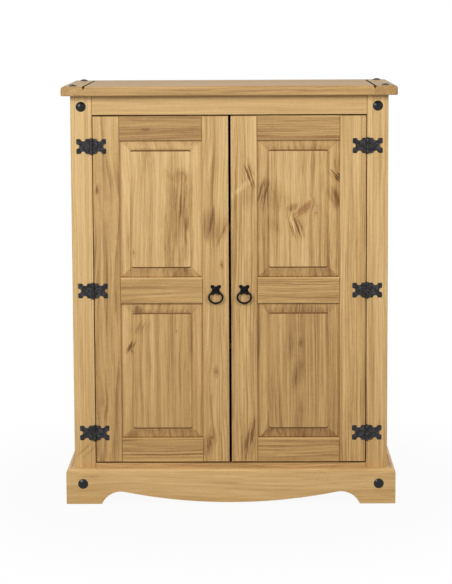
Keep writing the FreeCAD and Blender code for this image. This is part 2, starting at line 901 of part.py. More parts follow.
def panel_rectangle(side, low, high, side_margin, end_margin):
    """The opening of a panel made smaller by the margins, or larger by negative ones."""
    return rectangle(
        side * (meeting_inner + side_margin),
        low + end_margin,
        side * (stile_inner - side_margin),
        high - end_margin,
    )


def make_panel(label, side, low, high):
    """A raised panel: a tongue all round, a bevel, a narrow ledge, a cove and a flat field."""
    body = new_body(label)
    overlap = size.panel_groove_depth - size.panel_edge_gap
    play = (size.panel_groove_width - size.panel_tongue_thickness) / 2
    tongue_front = groove_front + play
    tongue_back = tongue_front + size.panel_tongue_thickness
    board = panel_rectangle(side, low, high, -overlap, -overlap)
    pad(body, "Tongue", "XZ", tongue_front, tongue_back, board)
    field_front = front + size.panel_field_setback
    ledge = field_front + size.panel_field_step
    margins = (size.panel_side_bevel, size.panel_end_bevel)
    bevel_foot = sketch_on(body, "XZ", tongue_front, "BevelFoot")
    draw(bevel_foot, panel_rectangle(side, low, high, ZERO, ZERO))
    bevel_head = sketch_on(body, "XZ", ledge, "BevelHead")
    draw(bevel_head, panel_rectangle(side, low, high, *margins))
    bevel = body.newObject("PartDesign::AdditiveLoft", "Bevel")
    bevel.Profile = bevel_foot
    bevel.Sections = [bevel_head]
    bevel.Ruled = True
    body.Tip = bevel
    inset = size.panel_side_bevel + size.panel_ledge
    spans = sorted((side * (meeting_inner + inset), side * (stile_inner - inset)), key=lambda end: end.value)
    field_low = low + size.panel_end_bevel + size.panel_ledge
    field_high = high - size.panel_end_bevel - size.panel_ledge
    outline = rounded_rectangle(spans[0], field_low, spans[1], field_high, size.panel_field_corner)
    field = pad(body, "Field", "XZ", field_front, ledge, outline)
    field.TaperAngle = -FIELD_DRAFT
    fillet(body, size.panel_field_round, dict(y=field_front))
    fillet(body, size.panel_cove_radius, dict(along="x", y=ledge, z=field_low))
    return body


# Butterfly hinges. A leaf is drawn about its pin, with the plate behind the pin and to the right.

plate_back = front - hinge_axis_y
plate_front = plate_back - size.hinge_leaf_thickness
barrel_end = size.hinge_barrel_height / 2
knuckle_end = size.hinge_barrel_height / (2 * KNUCKLES)
leaf_cut = size.knuckle_radius + size.knuckle_gap
leaf_half = size.hinge_height / 2
leaf_crown = leaf_half + size.hinge_crown
notch_start = size.hinge_notch_distance - size.hinge_notch_radius
leaf_turns = {"out": (ALONG_Y, 0), "in": (ALONG_Y, 180)}


def make_leaf(label, side, level, on_post):
    """One leaf: a notched and lobed plate, three screw holes, and its share of the knuckles."""
    body = new_body(label)
    half_gap = size.knuckle_gap / 2
    far = [
        (notch_start, -leaf_half),
        (size.hinge_reach, -leaf_half),
        (size.hinge_reach, leaf_half),
        (notch_start, leaf_half),
    ]
    if on_post:
        tab = knuckle_end + half_gap
        near = [
            (ZERO, leaf_crown),
            (ZERO, tab),
            (leaf_cut, tab),
            (leaf_cut, -tab),
            (ZERO, -tab),
            (ZERO, -leaf_crown),
        ]
        knuckles = ((tab, barrel_end), (-barrel_end, -tab))
    else:
        tab = knuckle_end - half_gap
        start = size.hinge_axis_inset + size.knuckle_gap
        near = [
            (leaf_cut, leaf_crown),
            (leaf_cut, tab),
            (start, tab),
            (start, -tab),
            (leaf_cut, -tab),
            (leaf_cut, -leaf_crown),
        ]
        knuckles = ((-tab, tab),)
    pad(body, "Plate", "XZ", plate_front, plate_back, far + near)
    end_x = size.hinge_reach - size.hinge_end_notch_inset
    notches = [
        Circle(size.hinge_notch_distance, leaf_half, size.hinge_notch_radius),
        Circle(size.hinge_notch_distance, -leaf_half, size.hinge_notch_radius),
        Circle(end_x, ZERO, size.hinge_end_notch_radius),
    ]
    clear = size.overrun
    pocket(body, "Notches", "XZ", plate_front - clear, plate_back + clear, *notches)
    corners = [dict(along="y", z=level_z) for level_z in (leaf_half, -leaf_half)]
    fillet(body, size.hinge_lobe_round, dict(along="y", x=size.hinge_reach), *corners)
    hole = size.screw_shank_radius + size.screw_clearance
    holes = [Circle(across, up, hole) for across, up in screw_places(1)]
    pocket(body, "ScrewHoles", "XZ", plate_front - clear, plate_back + clear, *holes)
    for low, high in knuckles:
        pad(body, "Knuckle", "XY", low, high, Circle(ZERO, ZERO, size.knuckle_radius))
    bore = Circle(ZERO, ZERO, size.hinge_pin_radius + size.hinge_pin_clearance)
    pocket(body, "PinBore", "XY", -barrel_end - clear, barrel_end + clear, bore)
    points_right = on_post == (side > 0)
    turn = leaf_turns["out" if points_right else "in"]
    place(body, side * hinge_axis_x, hinge_axis_y, level, *turn)
    return body


def domed_profile(head_radius, head_height, shank_radius, shank_length):
    """Half section of a round-headed fastener: its head above zero, its shank below."""
    sphere = (head_radius * head_radius + head_height * head_height) / (2 * head_height)
    return [
        (ZERO, -shank_length),
        (shank_radius, -shank_length),
        (shank_radius, ZERO),
        (head_radius, ZERO, sphere),
        (ZERO, head_height),
    ]


def make_hinge_pin_master():
    """A hinge pin with a domed head at each end of the barrel."""
    master = new_body("hinge_pin")
    radius = size.hinge_pin_head_radius
    height = size.hinge_pin_head_height
    sphere = (radius * radius + height * height) / (2 * height)
    revolve(master, "Pin", [
        (ZERO, -(barrel_end + height), sphere),
        (radius, -barrel_end),
        (size.hinge_pin_radius, -barrel_end),
        (size.hinge_pin_radius, barrel_end),
        (radius, barrel_end, sphere),
        (ZERO, barrel_end + height),
    ])
    return master


def make_screw_master():
    """A round-head hinge screw."""
    master = new_body("hinge_screw")
    revolve(master, "Screw", domed_profile(
        size.screw_head_radius, size.screw_head_height,
        size.screw_shank_radius, size.screw_length))
    return master


def leaf_screw_places(side, leaf_side):
    """Places of the nine screws that hold the three leaves of one post or one stile."""
    face = front - size.hinge_leaf_thickness
    return [
        (side * hinge_axis_x + across, face, level + up) + TO_FRONT
        for level in hinge_levels
        for across, up in screw_places(leaf_side)
    ]


# Iron studs

def make_studs():
    """Eight domed studs: four on the top, two on the posts and two on the plinth."""
    master = new_body("stud")
    revolve(master, "Stud", domed_profile(
        size.stud_radius, size.stud_height, size.stud_shank_radius, size.stud_shank_length))
    places = []
    for name, side in LEFT_AND_RIGHT:
        for stud_y in (top_front + size.top_stud_setback, top_back - size.top_stud_setback):
            places.append((side * top_stud_x, stud_y, top_face) + UPRIGHT)
        places.append((side * post_stud_x, front, stud_level) + TO_FRONT)
        places.append((side * plinth_stud_x, plinth_front_face, size.plinth_stud_level) + TO_FRONT)
    return group("iron_studs", master, places)


# Ring pulls. The plate is drawn about its centre on the door, the ring about the eye it hangs in.

def make_pull_plate(name, side):
    """A four-lobed plate with a boss, an eye for the ring and a spigot into the stile."""
    body = new_body("pull_plate_" + name)
    half_x = size.pull_plate_width / 2
    half_z = size.pull_plate_height / 2
    thick = size.pull_plate_thickness
    pad(body, "Plate", "XZ", -thick, ZERO, rectangle(-half_x, -half_z, half_x, half_z))
    notch_x = half_x + size.pull_notch_inset
    notch_z = half_z + size.pull_notch_inset
    centres = ((notch_x, ZERO), (-notch_x, ZERO), (ZERO, notch_z), (ZERO, -notch_z))
    notches = [Circle(across, up, size.pull_notch_radius) for across, up in centres]
    pocket(body, "Notches", "XZ", -thick - size.overrun, size.overrun, *notches)
    edges = [dict(along="y", x=edge) for edge in (half_x, -half_x)]
    edges += [dict(along="y", z=edge) for edge in (half_z, -half_z)]
    fillet(body, size.pull_lobe_round, *edges)
    boss_front = -(thick + size.pull_boss_height)
    pad(body, "Boss", "XZ", boss_front, -thick, Circle(ZERO, ZERO, size.pull_boss_radius))
    fillet(body, size.pull_boss_height * BOSS_ROUND_SHARE, dict(y=boss_front))
    eye_x = size.pull_eye_thickness / 2
    eye_z = -size.pull_eye_drop
    eye = size.pull_eye_radius
    stand = -size.pull_eye_stand
    pad(body, "Eye", "YZ", -eye_x, eye_x, [
        (-thick, eye_z - eye),
        (-thick, eye_z + eye),
        (stand, eye_z + eye, eye),
        (stand - eye, eye_z, eye),
        (stand, eye_z - eye),
    ])
    hole = size.ring_wire_radius + size.pull_eye_clearance
    clear = eye_x + size.overrun
    pocket(body, "EyeHole", "YZ", -clear, clear, Circle(stand, eye_z, hole))
    spigot = Circle(ZERO, ZERO, size.pull_spigot_radius)
    pad(body, "Spigot", "XZ", ZERO, size.pull_spigot_length, spigot)
    place(body, side * pull_x, front, size.pull_plate_level)
    return body


def make_ring(name, side):
    """An oval ring of round wire, hung from its top."""
    body = new_body("pull_ring_" + name)
    half_x = size.ring_width / 2 - size.ring_wire_radius
    half_z = size.ring_height / 2 - size.ring_wire_radius
    small = size.ring_side_radius
    squares = half_x * half_x + half_z * half_z
    large = (squares - 2 * half_x * small) / (2 * (half_z - small))
    slope = large / (large - small)
    join_x = slope * (half_x - small)
    join_z = half_z - large + slope * (large - half_z)
    spine = sketch_on(body, "XZ", ZERO, "Oval")
    draw(spine, [
        (ZERO, ZERO, -large),
        (join_x, join_z - half_z, -small),
        (join_x, -join_z - half_z, -large),
        (-join_x, -join_z - half_z, -small),
        (-join_x, join_z - half_z, -large),
    ])
    wire = sketch_on(body, "YZ", ZERO, "Wire")
    draw(wire, Circle(ZERO, ZERO, size.ring_wire_radius))
    ring = body.newObject("PartDesign::AdditivePipe", "Ring")
    ring.Profile = wire
    doc.recompute()
    ring.Spine = (spine, [f"Edge{number + 1}" for number in range(spine.GeometryCount)])
    body.Tip = ring
    place(body, side * pull_x, eye_y, eye_level)
    return body


# Magnetic catches behind the top rail, and the strike plates they hold

def make_catch(name, side):
    """A catch: a magnet block below the rail and a flange screwed to the rail's back."""
    body = new_body("magnetic_catch_" + name)
    centre = side * size.catch_distance
    half = size.catch_width / 2
    block_top = top_rail_under - size.catch_drop
    flange_back = frame_back + size.catch_flange_thickness
    block_back = frame_back + size.catch_depth
    section = [
        (frame_back, block_top - size.catch_block_height),
        (block_back, block_top - size.catch_block_height),
        (block_back, block_top),
        (flange_back, block_top),
        (flange_back, top_rail_under + size.catch_flange_height),
        (frame_back, top_rail_under + size.catch_flange_height),
    ]
    pad(body, "Catch", "YZ", centre - half, centre + half, section)
    fillet(body, size.catch_round, dict(along="z", y=block_back))
    return body


def make_strike(name, side):
    """The steel plate on the back of a door, held by the catch."""
    body = new_body("strike_plate_" + name)
    centre = side * size.catch_distance
    half = size.strike_width / 2
    middle = top_rail_under - size.catch_drop - size.catch_block_height / 2
    low = middle - size.strike_height / 2
    outline = rectangle(centre - half, low, centre + half, low + size.strike_height)
    pad(body, "Plate", "XZ", door_back, door_back + size.strike_thickness, outline)
    fillet(body, size.strike_round, dict(along="y"))
    return body




def make_door(name, side, screw):
    """Every piece of one door."""
    label = "door_" + name + "_"
    pull_hole = Circle(
        side * pull_x, size.pull_plate_level, size.pull_spigot_radius + size.screw_clearance)
    leaf_holes = pilot_holes(side, -side)
    pieces = [
        make_stile(label + "hinge_stile", side, door_hinge_edge, stile_inner, leaf_holes, None),
        make_stile(label + "meeting_stile", side, door_meeting_edge, meeting_inner, None, pull_hole),
        make_door_rail(label + "top_rail", side, top_rail_low, door_top, [(top_rail_low, 1)]),
        make_door_rail(
            label + "middle_rail", side, mid_rail_low, mid_rail_high,
            [(mid_rail_low, 1), (mid_rail_high, -1)]),
        make_door_rail(
            label + "bottom_rail", side, door_bottom, bottom_rail_high, [(bottom_rail_high, -1)]),
        make_panel(label + "upper_panel", side, mid_rail_high, top_rail_low),
        make_panel(label + "lower_panel", side, bottom_rail_high, mid_rail_low),
    ]
    for hinge, level in zip(HINGE_NAMES, hinge_levels):
        pieces.append(make_leaf(label + "leaf_" + hinge, side, level, False))
    pieces.append(group(label + "screws", screw, leaf_screw_places(side, -side)))
    pieces.append(make_pull_plate(name, side))
    pieces.append(make_ring(name, side))
    pieces.append(make_strike(name, side))
    return pieces


def make_cupboard():
    """Every piece of the cupboard, in the order it goes together."""
    screw = make_screw_master()
    pin = make_hinge_pin_master()
    pieces = [
        make_top_board(),
        make_rail("top_rail", top_rail_under, top_under),
        make_rail("bottom_rail", bottom_rail_under, floor_level),
        make_bottom_board(),
        make_back_panel(),
        make_rear_rail(),
        make_shelf("shelf_lower", size.shelf_lower_level),
        make_shelf("shelf_upper", size.shelf_upper_level),
        make_shelf_pins(),
        make_corner_blocks(),
        make_plinth_front(),
        make_studs(),
    ]
    post_screws = []
    for name, side in LEFT_AND_RIGHT:
        pieces.append(make_top_end(name, side))
        pieces.append(make_post(name, side))
        pieces.append(make_side(name, side))
        pieces.append(make_plinth_side(name, side))
        pieces.append(make_catch(name, side))
        for hinge, level in zip(HINGE_NAMES, hinge_levels):
            pieces.append(make_leaf(f"post_{name}_leaf_{hinge}", side, level, True))
        axis = (side * hinge_axis_x, hinge_axis_y)
        pin_places = [axis + (level,) + UPRIGHT for level in hinge_levels]
        pieces.append(group("hinge_pins_" + name, pin, pin_places))
        post_screws += leaf_screw_places(side, side)
        pieces += make_door(name, side, screw)
    pieces.append(group("post_hinge_screws", screw, post_screws))
    return pieces


def check(pieces):
    """Stop if a feature failed, a cut missed, or a piece is not a sound solid."""
    for thing in doc.Objects:
        if "Invalid" in thing.State or "Error" in thing.State:
            raise RuntimeError(f"{thing.Label} failed: {thing.State}")
        if thing.TypeId == "PartDesign::Pocket":
            before = thing.BaseFeature.Shape.Volume
            if thing.Shape.Volume > before * (1 - CUT_SHARE):
                raise RuntimeError(f"{thing.Label} of {thing.getParent().Label} cuts nothing")
    for piece in pieces:
        if piece.Shape.isNull() or not piece.Shape.isValid():
            raise RuntimeError(f"{piece.Label} is not a sound shape")



pieces = make_cupboard()
doc.recompute()
check(pieces)
os.makedirs(PARTS_FOLDER, exist_ok=True)
for piece in pieces:
    piece.Shape.exportStep(os.path.join(PARTS_FOLDER, piece.Label + ".step"))
    print(piece.Label, len(piece.Shape.Solids), round(piece.Shape.Volume))
print(len(pieces), "pieces")
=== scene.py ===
import json
import math
import random
from typing import NamedTuple

import bpy
from mathutils import Matrix, Vector


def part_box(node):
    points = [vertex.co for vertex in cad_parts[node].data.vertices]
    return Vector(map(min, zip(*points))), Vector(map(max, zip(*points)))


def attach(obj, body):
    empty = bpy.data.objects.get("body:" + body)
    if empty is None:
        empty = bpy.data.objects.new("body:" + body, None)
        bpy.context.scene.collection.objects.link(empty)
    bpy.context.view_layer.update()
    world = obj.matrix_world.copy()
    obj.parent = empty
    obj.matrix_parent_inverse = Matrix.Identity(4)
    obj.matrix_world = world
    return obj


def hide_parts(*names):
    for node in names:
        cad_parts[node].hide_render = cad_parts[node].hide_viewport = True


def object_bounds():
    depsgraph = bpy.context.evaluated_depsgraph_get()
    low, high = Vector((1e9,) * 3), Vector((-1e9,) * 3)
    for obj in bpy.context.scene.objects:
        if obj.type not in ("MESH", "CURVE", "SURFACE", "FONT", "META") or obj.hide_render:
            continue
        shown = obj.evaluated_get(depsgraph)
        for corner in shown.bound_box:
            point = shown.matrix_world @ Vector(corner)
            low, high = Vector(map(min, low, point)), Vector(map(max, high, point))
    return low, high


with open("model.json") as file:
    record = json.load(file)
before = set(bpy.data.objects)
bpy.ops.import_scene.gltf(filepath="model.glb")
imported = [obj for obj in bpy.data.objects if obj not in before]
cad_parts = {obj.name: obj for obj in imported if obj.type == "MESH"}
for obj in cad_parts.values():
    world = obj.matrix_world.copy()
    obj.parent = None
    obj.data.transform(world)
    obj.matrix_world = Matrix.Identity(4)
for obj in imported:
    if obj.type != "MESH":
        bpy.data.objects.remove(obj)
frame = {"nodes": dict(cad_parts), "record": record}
CAD_LOW, CAD_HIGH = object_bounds()
POST_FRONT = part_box("front_post_left")[0].y

bl_info = {
    "name": "Pine cupboard",
    "version": (1, 0),
    "blender": (4, 5, 0),
    "location": "View3D > Sidebar > Cupboard",
    "description": "Finishes and small fittings of a waxed pine cupboard with iron hinges",
    "category": "Object",
}

MM = 0.001
PER_MM = 1000.0
SIDES = {"left": -1, "right": 1}
HINGES = ("bottom", "middle", "top")
FORWARD = math.pi / 2
BACKWARD = -math.pi / 2

# Sizes of the fittings, as the solids have them
LEAF_THICKNESS = 1.5 * MM
SCREW_PLACES = ((30.7 * MM, 13.9 * MM), (30.7 * MM, -13.9 * MM), (20.5 * MM, 0.0))
TOP_STUD_X = 381 * MM
TOP_STUD_Y = 165 * MM
POST_STUD_X = 361.625 * MM
POST_STUD_Z = 984 * MM
PLINTH_STUD_X = 366 * MM
PLINTH_STUD_Z = 51 * MM
CATCH_FLANGE = 2.6 * MM

# Each group of screws: its node, its body, whether it lies outside (1) or inside (-1) the hinge
# pins, and on which sides
SCREW_GROUPS = (
    ("post_hinge_screws", "carcass", 1, ("left", "right")),
    ("door_left_screws", "door_left", -1, ("left",)),
    ("door_right_screws", "door_right", -1, ("right",)))
SCREW_SEED = 11

# Sizes of the finer shapes that are made here
MERGE_WITHIN = 0.002 * MM
SCREW_BEVEL = 0.08 * MM
SLOT_LOW = (-4 * MM, -0.4 * MM, 0.65 * MM)
SLOT_HIGH = (4 * MM, 0.4 * MM, 3 * MM)
POLE_SIZE = Vector((30 * MM, 2 * MM, 1.6 * MM))
POLE_LEVELS = (4 * MM, 11 * MM)
POLE_PROUD = 0.15 * MM
POLE_EDGE = 0.2 * MM
CATCH_SCREW_X = 14 * MM
CATCH_SCREW_DROP = 8 * MM
NAIL_INSET = 5 * MM
NAILS_UP = 12
NAILS_ACROSS = 10

# Shares of the iron's cut, dent size and dent depth that studs and pulls take
PULL_CUT = 0.8
PLATE_DENT_DEPTH = 0.5
RING_DENT_DEPTH = 0.3
STUD_DENT_SIZE = 2.2
STUD_DENT_DEPTH = 0.5

# Stage
PHOTO_HEIGHT = 584
SENSOR_WIDTH = 36.0
FLOOR_SIZE = 24.0
SHADOW_START = 0.3
SHADOW_END = 1.1
REAR_LAMP_SCALE = 2
PALE_GREY = (0.4, 0.4, 0.4, 1.0)
WHITE = (1.0, 1.0, 1.0, 1.0)

# Sockets of a Mix node that mixes colours
COLOUR_A = 6
COLOUR_B = 7
MIXED_COLOUR = 2


class Fastener(NamedTuple):
    """A fastener that stands up: its domed head's radius, height and rim, and its shank."""

    head: float
    height: float
    rim: float
    shank: float
    length: float
    # Steps from rim to crown, and flats all round
    steps: int
    flats: int


SCREW = Fastener(2.7 * MM, 1.3 * MM, 0.25 * MM, 1.5 * MM, 12 * MM, 6, 24)
STUD = Fastener(12.4 * MM, 4.5 * MM, 0.5 * MM, 3 * MM, 14 * MM, 14, 56)
NAIL = Fastener(1.9 * MM, 0.35 * MM, 0.1 * MM, 0.8 * MM, 6 * MM, 3, 12)


# Properties


class PineProperties(bpy.types.PropertyGroup):
    """Colours and figure of the waxed pine."""

    pale: bpy.props.FloatVectorProperty(
        name="Pale wood", description="Colour of the palest early wood", subtype="COLOR",
        default=(0.74, 0.51, 0.235))
    honey: bpy.props.FloatVectorProperty(
        name="Honey", description="Colour of the wood between early and late", subtype="COLOR",
        default=(0.55, 0.345, 0.138))
    dark: bpy.props.FloatVectorProperty(
        name="Dark wood", description="Colour of the late wood and of shaded patches",
        subtype="COLOR",
        default=(0.20, 0.092, 0.028))
    # Painted shade: how the wood's colours are painted warmer near the floor
    painted_warmth_below: bpy.props.FloatVectorProperty(
        name="Warmth below", description="How the wax tints the wood near the floor",
        subtype="COLOR",
        default=(1.0, 0.97, 0.92))
    knot: bpy.props.FloatVectorProperty(
        name="Knots", description="Colour of the knots", subtype="COLOR",
        default=(0.27, 0.09, 0.028))
    # Painted shade: how much darker the wood is painted at the floor than at the top
    painted_shade_below: bpy.props.FloatProperty(
        name="Lower tone", description="How much darker the wax is at the floor than at the top",
        default=0.24, min=0.0, max=1.0)
    roughness: bpy.props.FloatProperty(
        name="Roughness", description="Roughness of the waxed surface", default=0.48, min=0.0,
        max=1.0)
    relief: bpy.props.FloatProperty(
        name="Relief", description="Depth of the grain", default=0.00025, subtype="DISTANCE",
        unit="LENGTH")


class IronProperties(bpy.types.PropertyGroup):
    """Finish of the black iron."""

    black: bpy.props.FloatVectorProperty(
        name="Black", description="Colour in the hollows", subtype="COLOR", default=(0.004,
        0.004, 0.005))
    grey: bpy.props.FloatVectorProperty(
        name="Grey", description="Colour on the rubbed high spots", subtype="COLOR",
        default=(0.05, 0.046, 0.05))
    roughness: bpy.props.FloatProperty(
        name="Roughness", description="Roughness of the painted iron", default=0.3, min=0.0,
        max=1.0)
    stud_roughness: bpy.props.FloatProperty(
        name="Stud roughness", description="Roughness of the smoother domed studs", default=0.25,
        min=0.0,
        max=1.0)
    cut_size: bpy.props.FloatProperty(
        name="Cut size", description="Width of one face of the beaten fittings", default=0.00055,
        subtype="DISTANCE", unit="LENGTH", precision=5)
    dent_size: bpy.props.FloatProperty(
        name="Dent size", description="Width of one hammer mark", default=0.0042,
        subtype="DISTANCE",
        unit="LENGTH")
    dent_depth: bpy.props.FloatProperty(
        name="Dent depth", description="Depth of one hammer mark", default=0.0004,
        subtype="DISTANCE",
        unit="LENGTH")


class StageProperties(bpy.types.PropertyGroup):
    """Camera, lamps and floor."""

    camera_across: bpy.props.FloatProperty(
        name="Across", description="Camera place to the right of the middle", default=0.0419,
        subtype="DISTANCE", unit="LENGTH")
    camera_distance: bpy.props.FloatProperty(
        name="Distance", description="Camera distance in front of the posts", default=4.6754,
        subtype="DISTANCE", unit="LENGTH")
    camera_height: bpy.props.FloatProperty(
        name="Height", description="Camera height above the floor", default=1.2267,
        subtype="DISTANCE", unit="LENGTH")
    tilt: bpy.props.FloatProperty(
        name="Tilt", description="How far the camera looks down", default=0.1120, subtype="ANGLE")
    turn: bpy.props.FloatProperty(
        name="Turn", description="How far the camera is turned to the left", default=0.0109,
        subtype="ANGLE")
    roll: bpy.props.FloatProperty(
        name="Roll", description="How far the camera is rolled", default=-0.0047, subtype="ANGLE")
    focal_pixels: bpy.props.FloatProperty(
        name="Focal length", description="Focal length in pixels of the 584 pixel high frame",
        default=1921.24)
    shift: bpy.props.FloatProperty(
        name="Shift", description="Upright shift as a share of the frame's height", default=-0.12)
    ambient: bpy.props.FloatProperty(
        name="Ambient", description="Strength of the light from all around", default=0.36)
    lamp_across: bpy.props.FloatProperty(
        name="Lamps across", description="Distance of each lamp from the middle", default=1.7,
        subtype="DISTANCE", unit="LENGTH")
    lamp_distance: bpy.props.FloatProperty(
        name="Lamps forward", description="Distance of the lamps in front", default=2.5,
        subtype="DISTANCE", unit="LENGTH")
    lamp_height: bpy.props.FloatProperty(
        name="Lamps up", description="Height of the lamps", default=1.9, subtype="DISTANCE",
        unit="LENGTH")
    lamp_size: bpy.props.FloatProperty(
        name="Lamp size", description="Width of each square lamp", default=1.1, subtype="DISTANCE",
        unit="LENGTH")
    left_power: bpy.props.FloatProperty(
        name="Left lamp", description="Power of the lamp at the left", default=47.5)
    right_power: bpy.props.FloatProperty(
        name="Right lamp", description="Power of the lamp at the right", default=36.5)
    rear_power: bpy.props.FloatProperty(
        name="Rear lamps", description="Power of each of the two lamps behind", default=46.0)
    floor_shadow: bpy.props.FloatProperty(
        name="Shadow", description="How strongly the floor shows the shadow", default=0.06,
        min=0.0,
        max=1.0)


# Node building


def feed(tree, socket, value):
    """Link an output to a socket, or set its value."""
    if isinstance(value, bpy.types.NodeSocket):
        tree.links.new(value, socket)
    else:
        socket.default_value = value


def add(tree, kind, *values, named=(), **settings):
    """Add a node, set its options, and feed its inputs in order or by name."""
    node = tree.nodes.new("ShaderNode" + kind)
    for name, setting in settings.items():
        setattr(node, name, setting)
    for socket, value in zip(node.inputs, values):
        feed(tree, socket, value)
    for name, value in dict(named).items():
        feed(tree, node.inputs[name], value)
    return node


def maths(tree, operation, *values):
    """One sum on numbers."""
    return add(tree, "Math", *values, operation=operation).outputs[0]


def vectors(tree, operation, *values):
    """One sum on vectors. A length comes out of the second socket."""
    node = add(tree, "VectorMath", *values, operation=operation)
    return node.outputs[1 if operation == "LENGTH" else 0]


def split(tree, vector):
    """The three numbers of a vector."""
    return add(tree, "SeparateXYZ", vector).outputs


def fade(tree, value, start, end, low=0.0, high=1.0):
    """A smooth step from low at start to high at end."""
    node = add(tree, "MapRange", interpolation_type="SMOOTHSTEP", named={
        "Value": value, "From Min": start, "From Max": end, "To Min": low, "To Max": high})
    return node.outputs[0]


def linear(tree, value, start, end):
    """An even step from zero at start to one at end."""
    node = add(tree, "MapRange", named={"Value": value, "From Min": start, "From Max": end})
    return node.outputs[0]


def blend(tree, share, first, second):
    """A mix of two numbers."""
    return add(tree, "Mix", share, named={"A": first, "B": second}).outputs[0]


def blend_colours(tree, share, first, second):
    """A mix of two colours."""
    node = add(tree, "Mix", share, data_type="RGBA")
    feed(tree, node.inputs[COLOUR_A], first)
    feed(tree, node.inputs[COLOUR_B], second)
    return node.outputs[MIXED_COLOUR]


def noise(tree, place, scale=1.0, detail=2.0, distortion=0.0):
    """Soft noise, as a number and as a colour."""
    return add(tree, "TexNoise", named={
        "Vector": place, "Scale": scale, "Detail": detail, "Distortion": distortion}).outputs


def grain_noise(tree, place, cell, detail=2.0):
    """Noise whose cells have this size across, through and along the grain."""
    return noise(tree, vectors(tree, "DIVIDE", place, cell), detail=detail)


def swing(tree, place, cell, detail=2.0):
    """Grain noise about zero, as a number."""
    return maths(tree, "SUBTRACT", grain_noise(tree, place, cell, detail)[0], 0.5)


def drift(tree, place, cell, detail=2.0):
    """Grain noise about zero, as an offset."""
    noisy = grain_noise(tree, place, cell, detail)["Color"]
    return vectors(tree, "SUBTRACT", noisy, (0.5, 0.5, 0.5))


def bumped(tree, strength, distance, height):
    """The surface's direction with bumps as deep as this distance."""
    return add(tree, "Bump", named={
        "Strength": strength, "Distance": distance, "Height": height}).outputs[0]


def new_group(name, inputs, outputs):
    """A node group with its sockets, and its input and output nodes."""
    tree = bpy.data.node_groups.new(name, "ShaderNodeTree")
    for way, sockets in (("INPUT", inputs), ("OUTPUT", outputs)):
        for label, kind in sockets:
            tree.interface.new_socket(name=label, in_out=way, socket_type="NodeSocket" + kind)
    return tree, tree.nodes.new("NodeGroupInput").outputs, tree.nodes.new("NodeGroupOutput").inputs


def new_material(name):
    """An empty material, its nodes and its coordinates, of which Object is in metres."""
    material = bpy.data.materials.new(name)
    material.use_nodes = True
    tree = material.node_tree
    tree.nodes.clear()
    return material, tree, add(tree, "TexCoord").outputs


def coat(tree, shader_values):
    """Close a material with a shader that has these values."""
    shader = add(tree, "BsdfPrincipled", named=shader_values)
    add(tree, "OutputMaterial", shader.outputs[0])


def colour(value):
    """A colour with its alpha."""
    return (*value, 1.0)


# Pine

# Cells of the noises, in millimetres across, through and along the grain
RAGGED_CELL = (9.0, 9.0, 22.0)
STROKE_CELL = (4.6, 4.6, 70.0)
SLOW_CELL = (75.0, 75.0, 420.0)
QUICK_CELL = (14.0, 14.0, 90.0)
RING_PATCH_CELL = (26.0, 26.0, 330.0)
FIBRE_CELL = (0.9, 0.9, 26.0)
MOTTLE_CELL = (7.0, 7.0, 5.0)
FLECK_CELL = (1.5, 1.5, 13.0)
STREAK_LAYERS = (((30.0, 30.0, 700.0), 0.8), ((8.0, 8.0, 380.0), 0.6), ((2.6, 2.6, 170.0), 1.0))

# Fades: where they start and end, and the values there
HALO_FADE = (0.15, 1.1, 1.0, 0.0)
CORE_FADE = (0.45, 1.15, 1.0, 0.0)
STROKE_FADE = (0.47, 0.63, -0.85, 1.3)
YEAR_GROWTH = (0.2, 0.88)
YEAR_END = (0.9, 1.0, 1.0, 0.0)
RING_PATCH_FADE = (0.34, 0.68, 0.3, 1.2)
LENGTHWISE_FADE = (0.0, 0.24, 1.0, 0.12)
FLECK_FADE = (0.66, 0.78)

# Offsets, and shares of an offset, across, through and along the grain
CORE_RAGGED = (0.3, 0.0, 0.3)
STROKE_SHUFFLE = (3.0, 0.0, 3.0)
QUICK_SWING = (3.2, 3.2, 0.0)
STAVE_SLIDE = (260.0, 60.0, 1900.0)
RING_SLIDE = (0.3, 0.3, 0.0)

# Shades from the palest wood at zero: of plain wood, of each colour, where grime and painted
# groove shade start and fill, and where the wax turns dull
PLAIN_SHADE = 0.3
HONEY_SHADE = 0.4
DARK_SHADE = 1.0
GRIME_AND_SHADE_LEVELS = (1.2, 2.4)
DULL_SHADES = (1.0, 1.8)
GRIME_AND_SHADE = (0.025, 0.012, 0.006, 1.0)

# How end grain spreads over rounded edges, and how much of the rings still shows on it
END_GAIN = 1.5
END_POWER = 1.3
END_RINGS = 0.35

# A size that reaches through any board, and the core of a mark that has none
THROUGH = 1e6
NO_CORE = (1.0, 1.0, 1.0)

# Which of x, y and z run across, through and along the grain of a board
UPRIGHT = (0, 1, 2)
LEVEL = (2, 1, 0)
FLAT = (1, 2, 0)
FLAT_DEEP = (0, 2, 1)
SIDE = (1, 0, 2)
SIDE_LEVEL = (2, 0, 1)


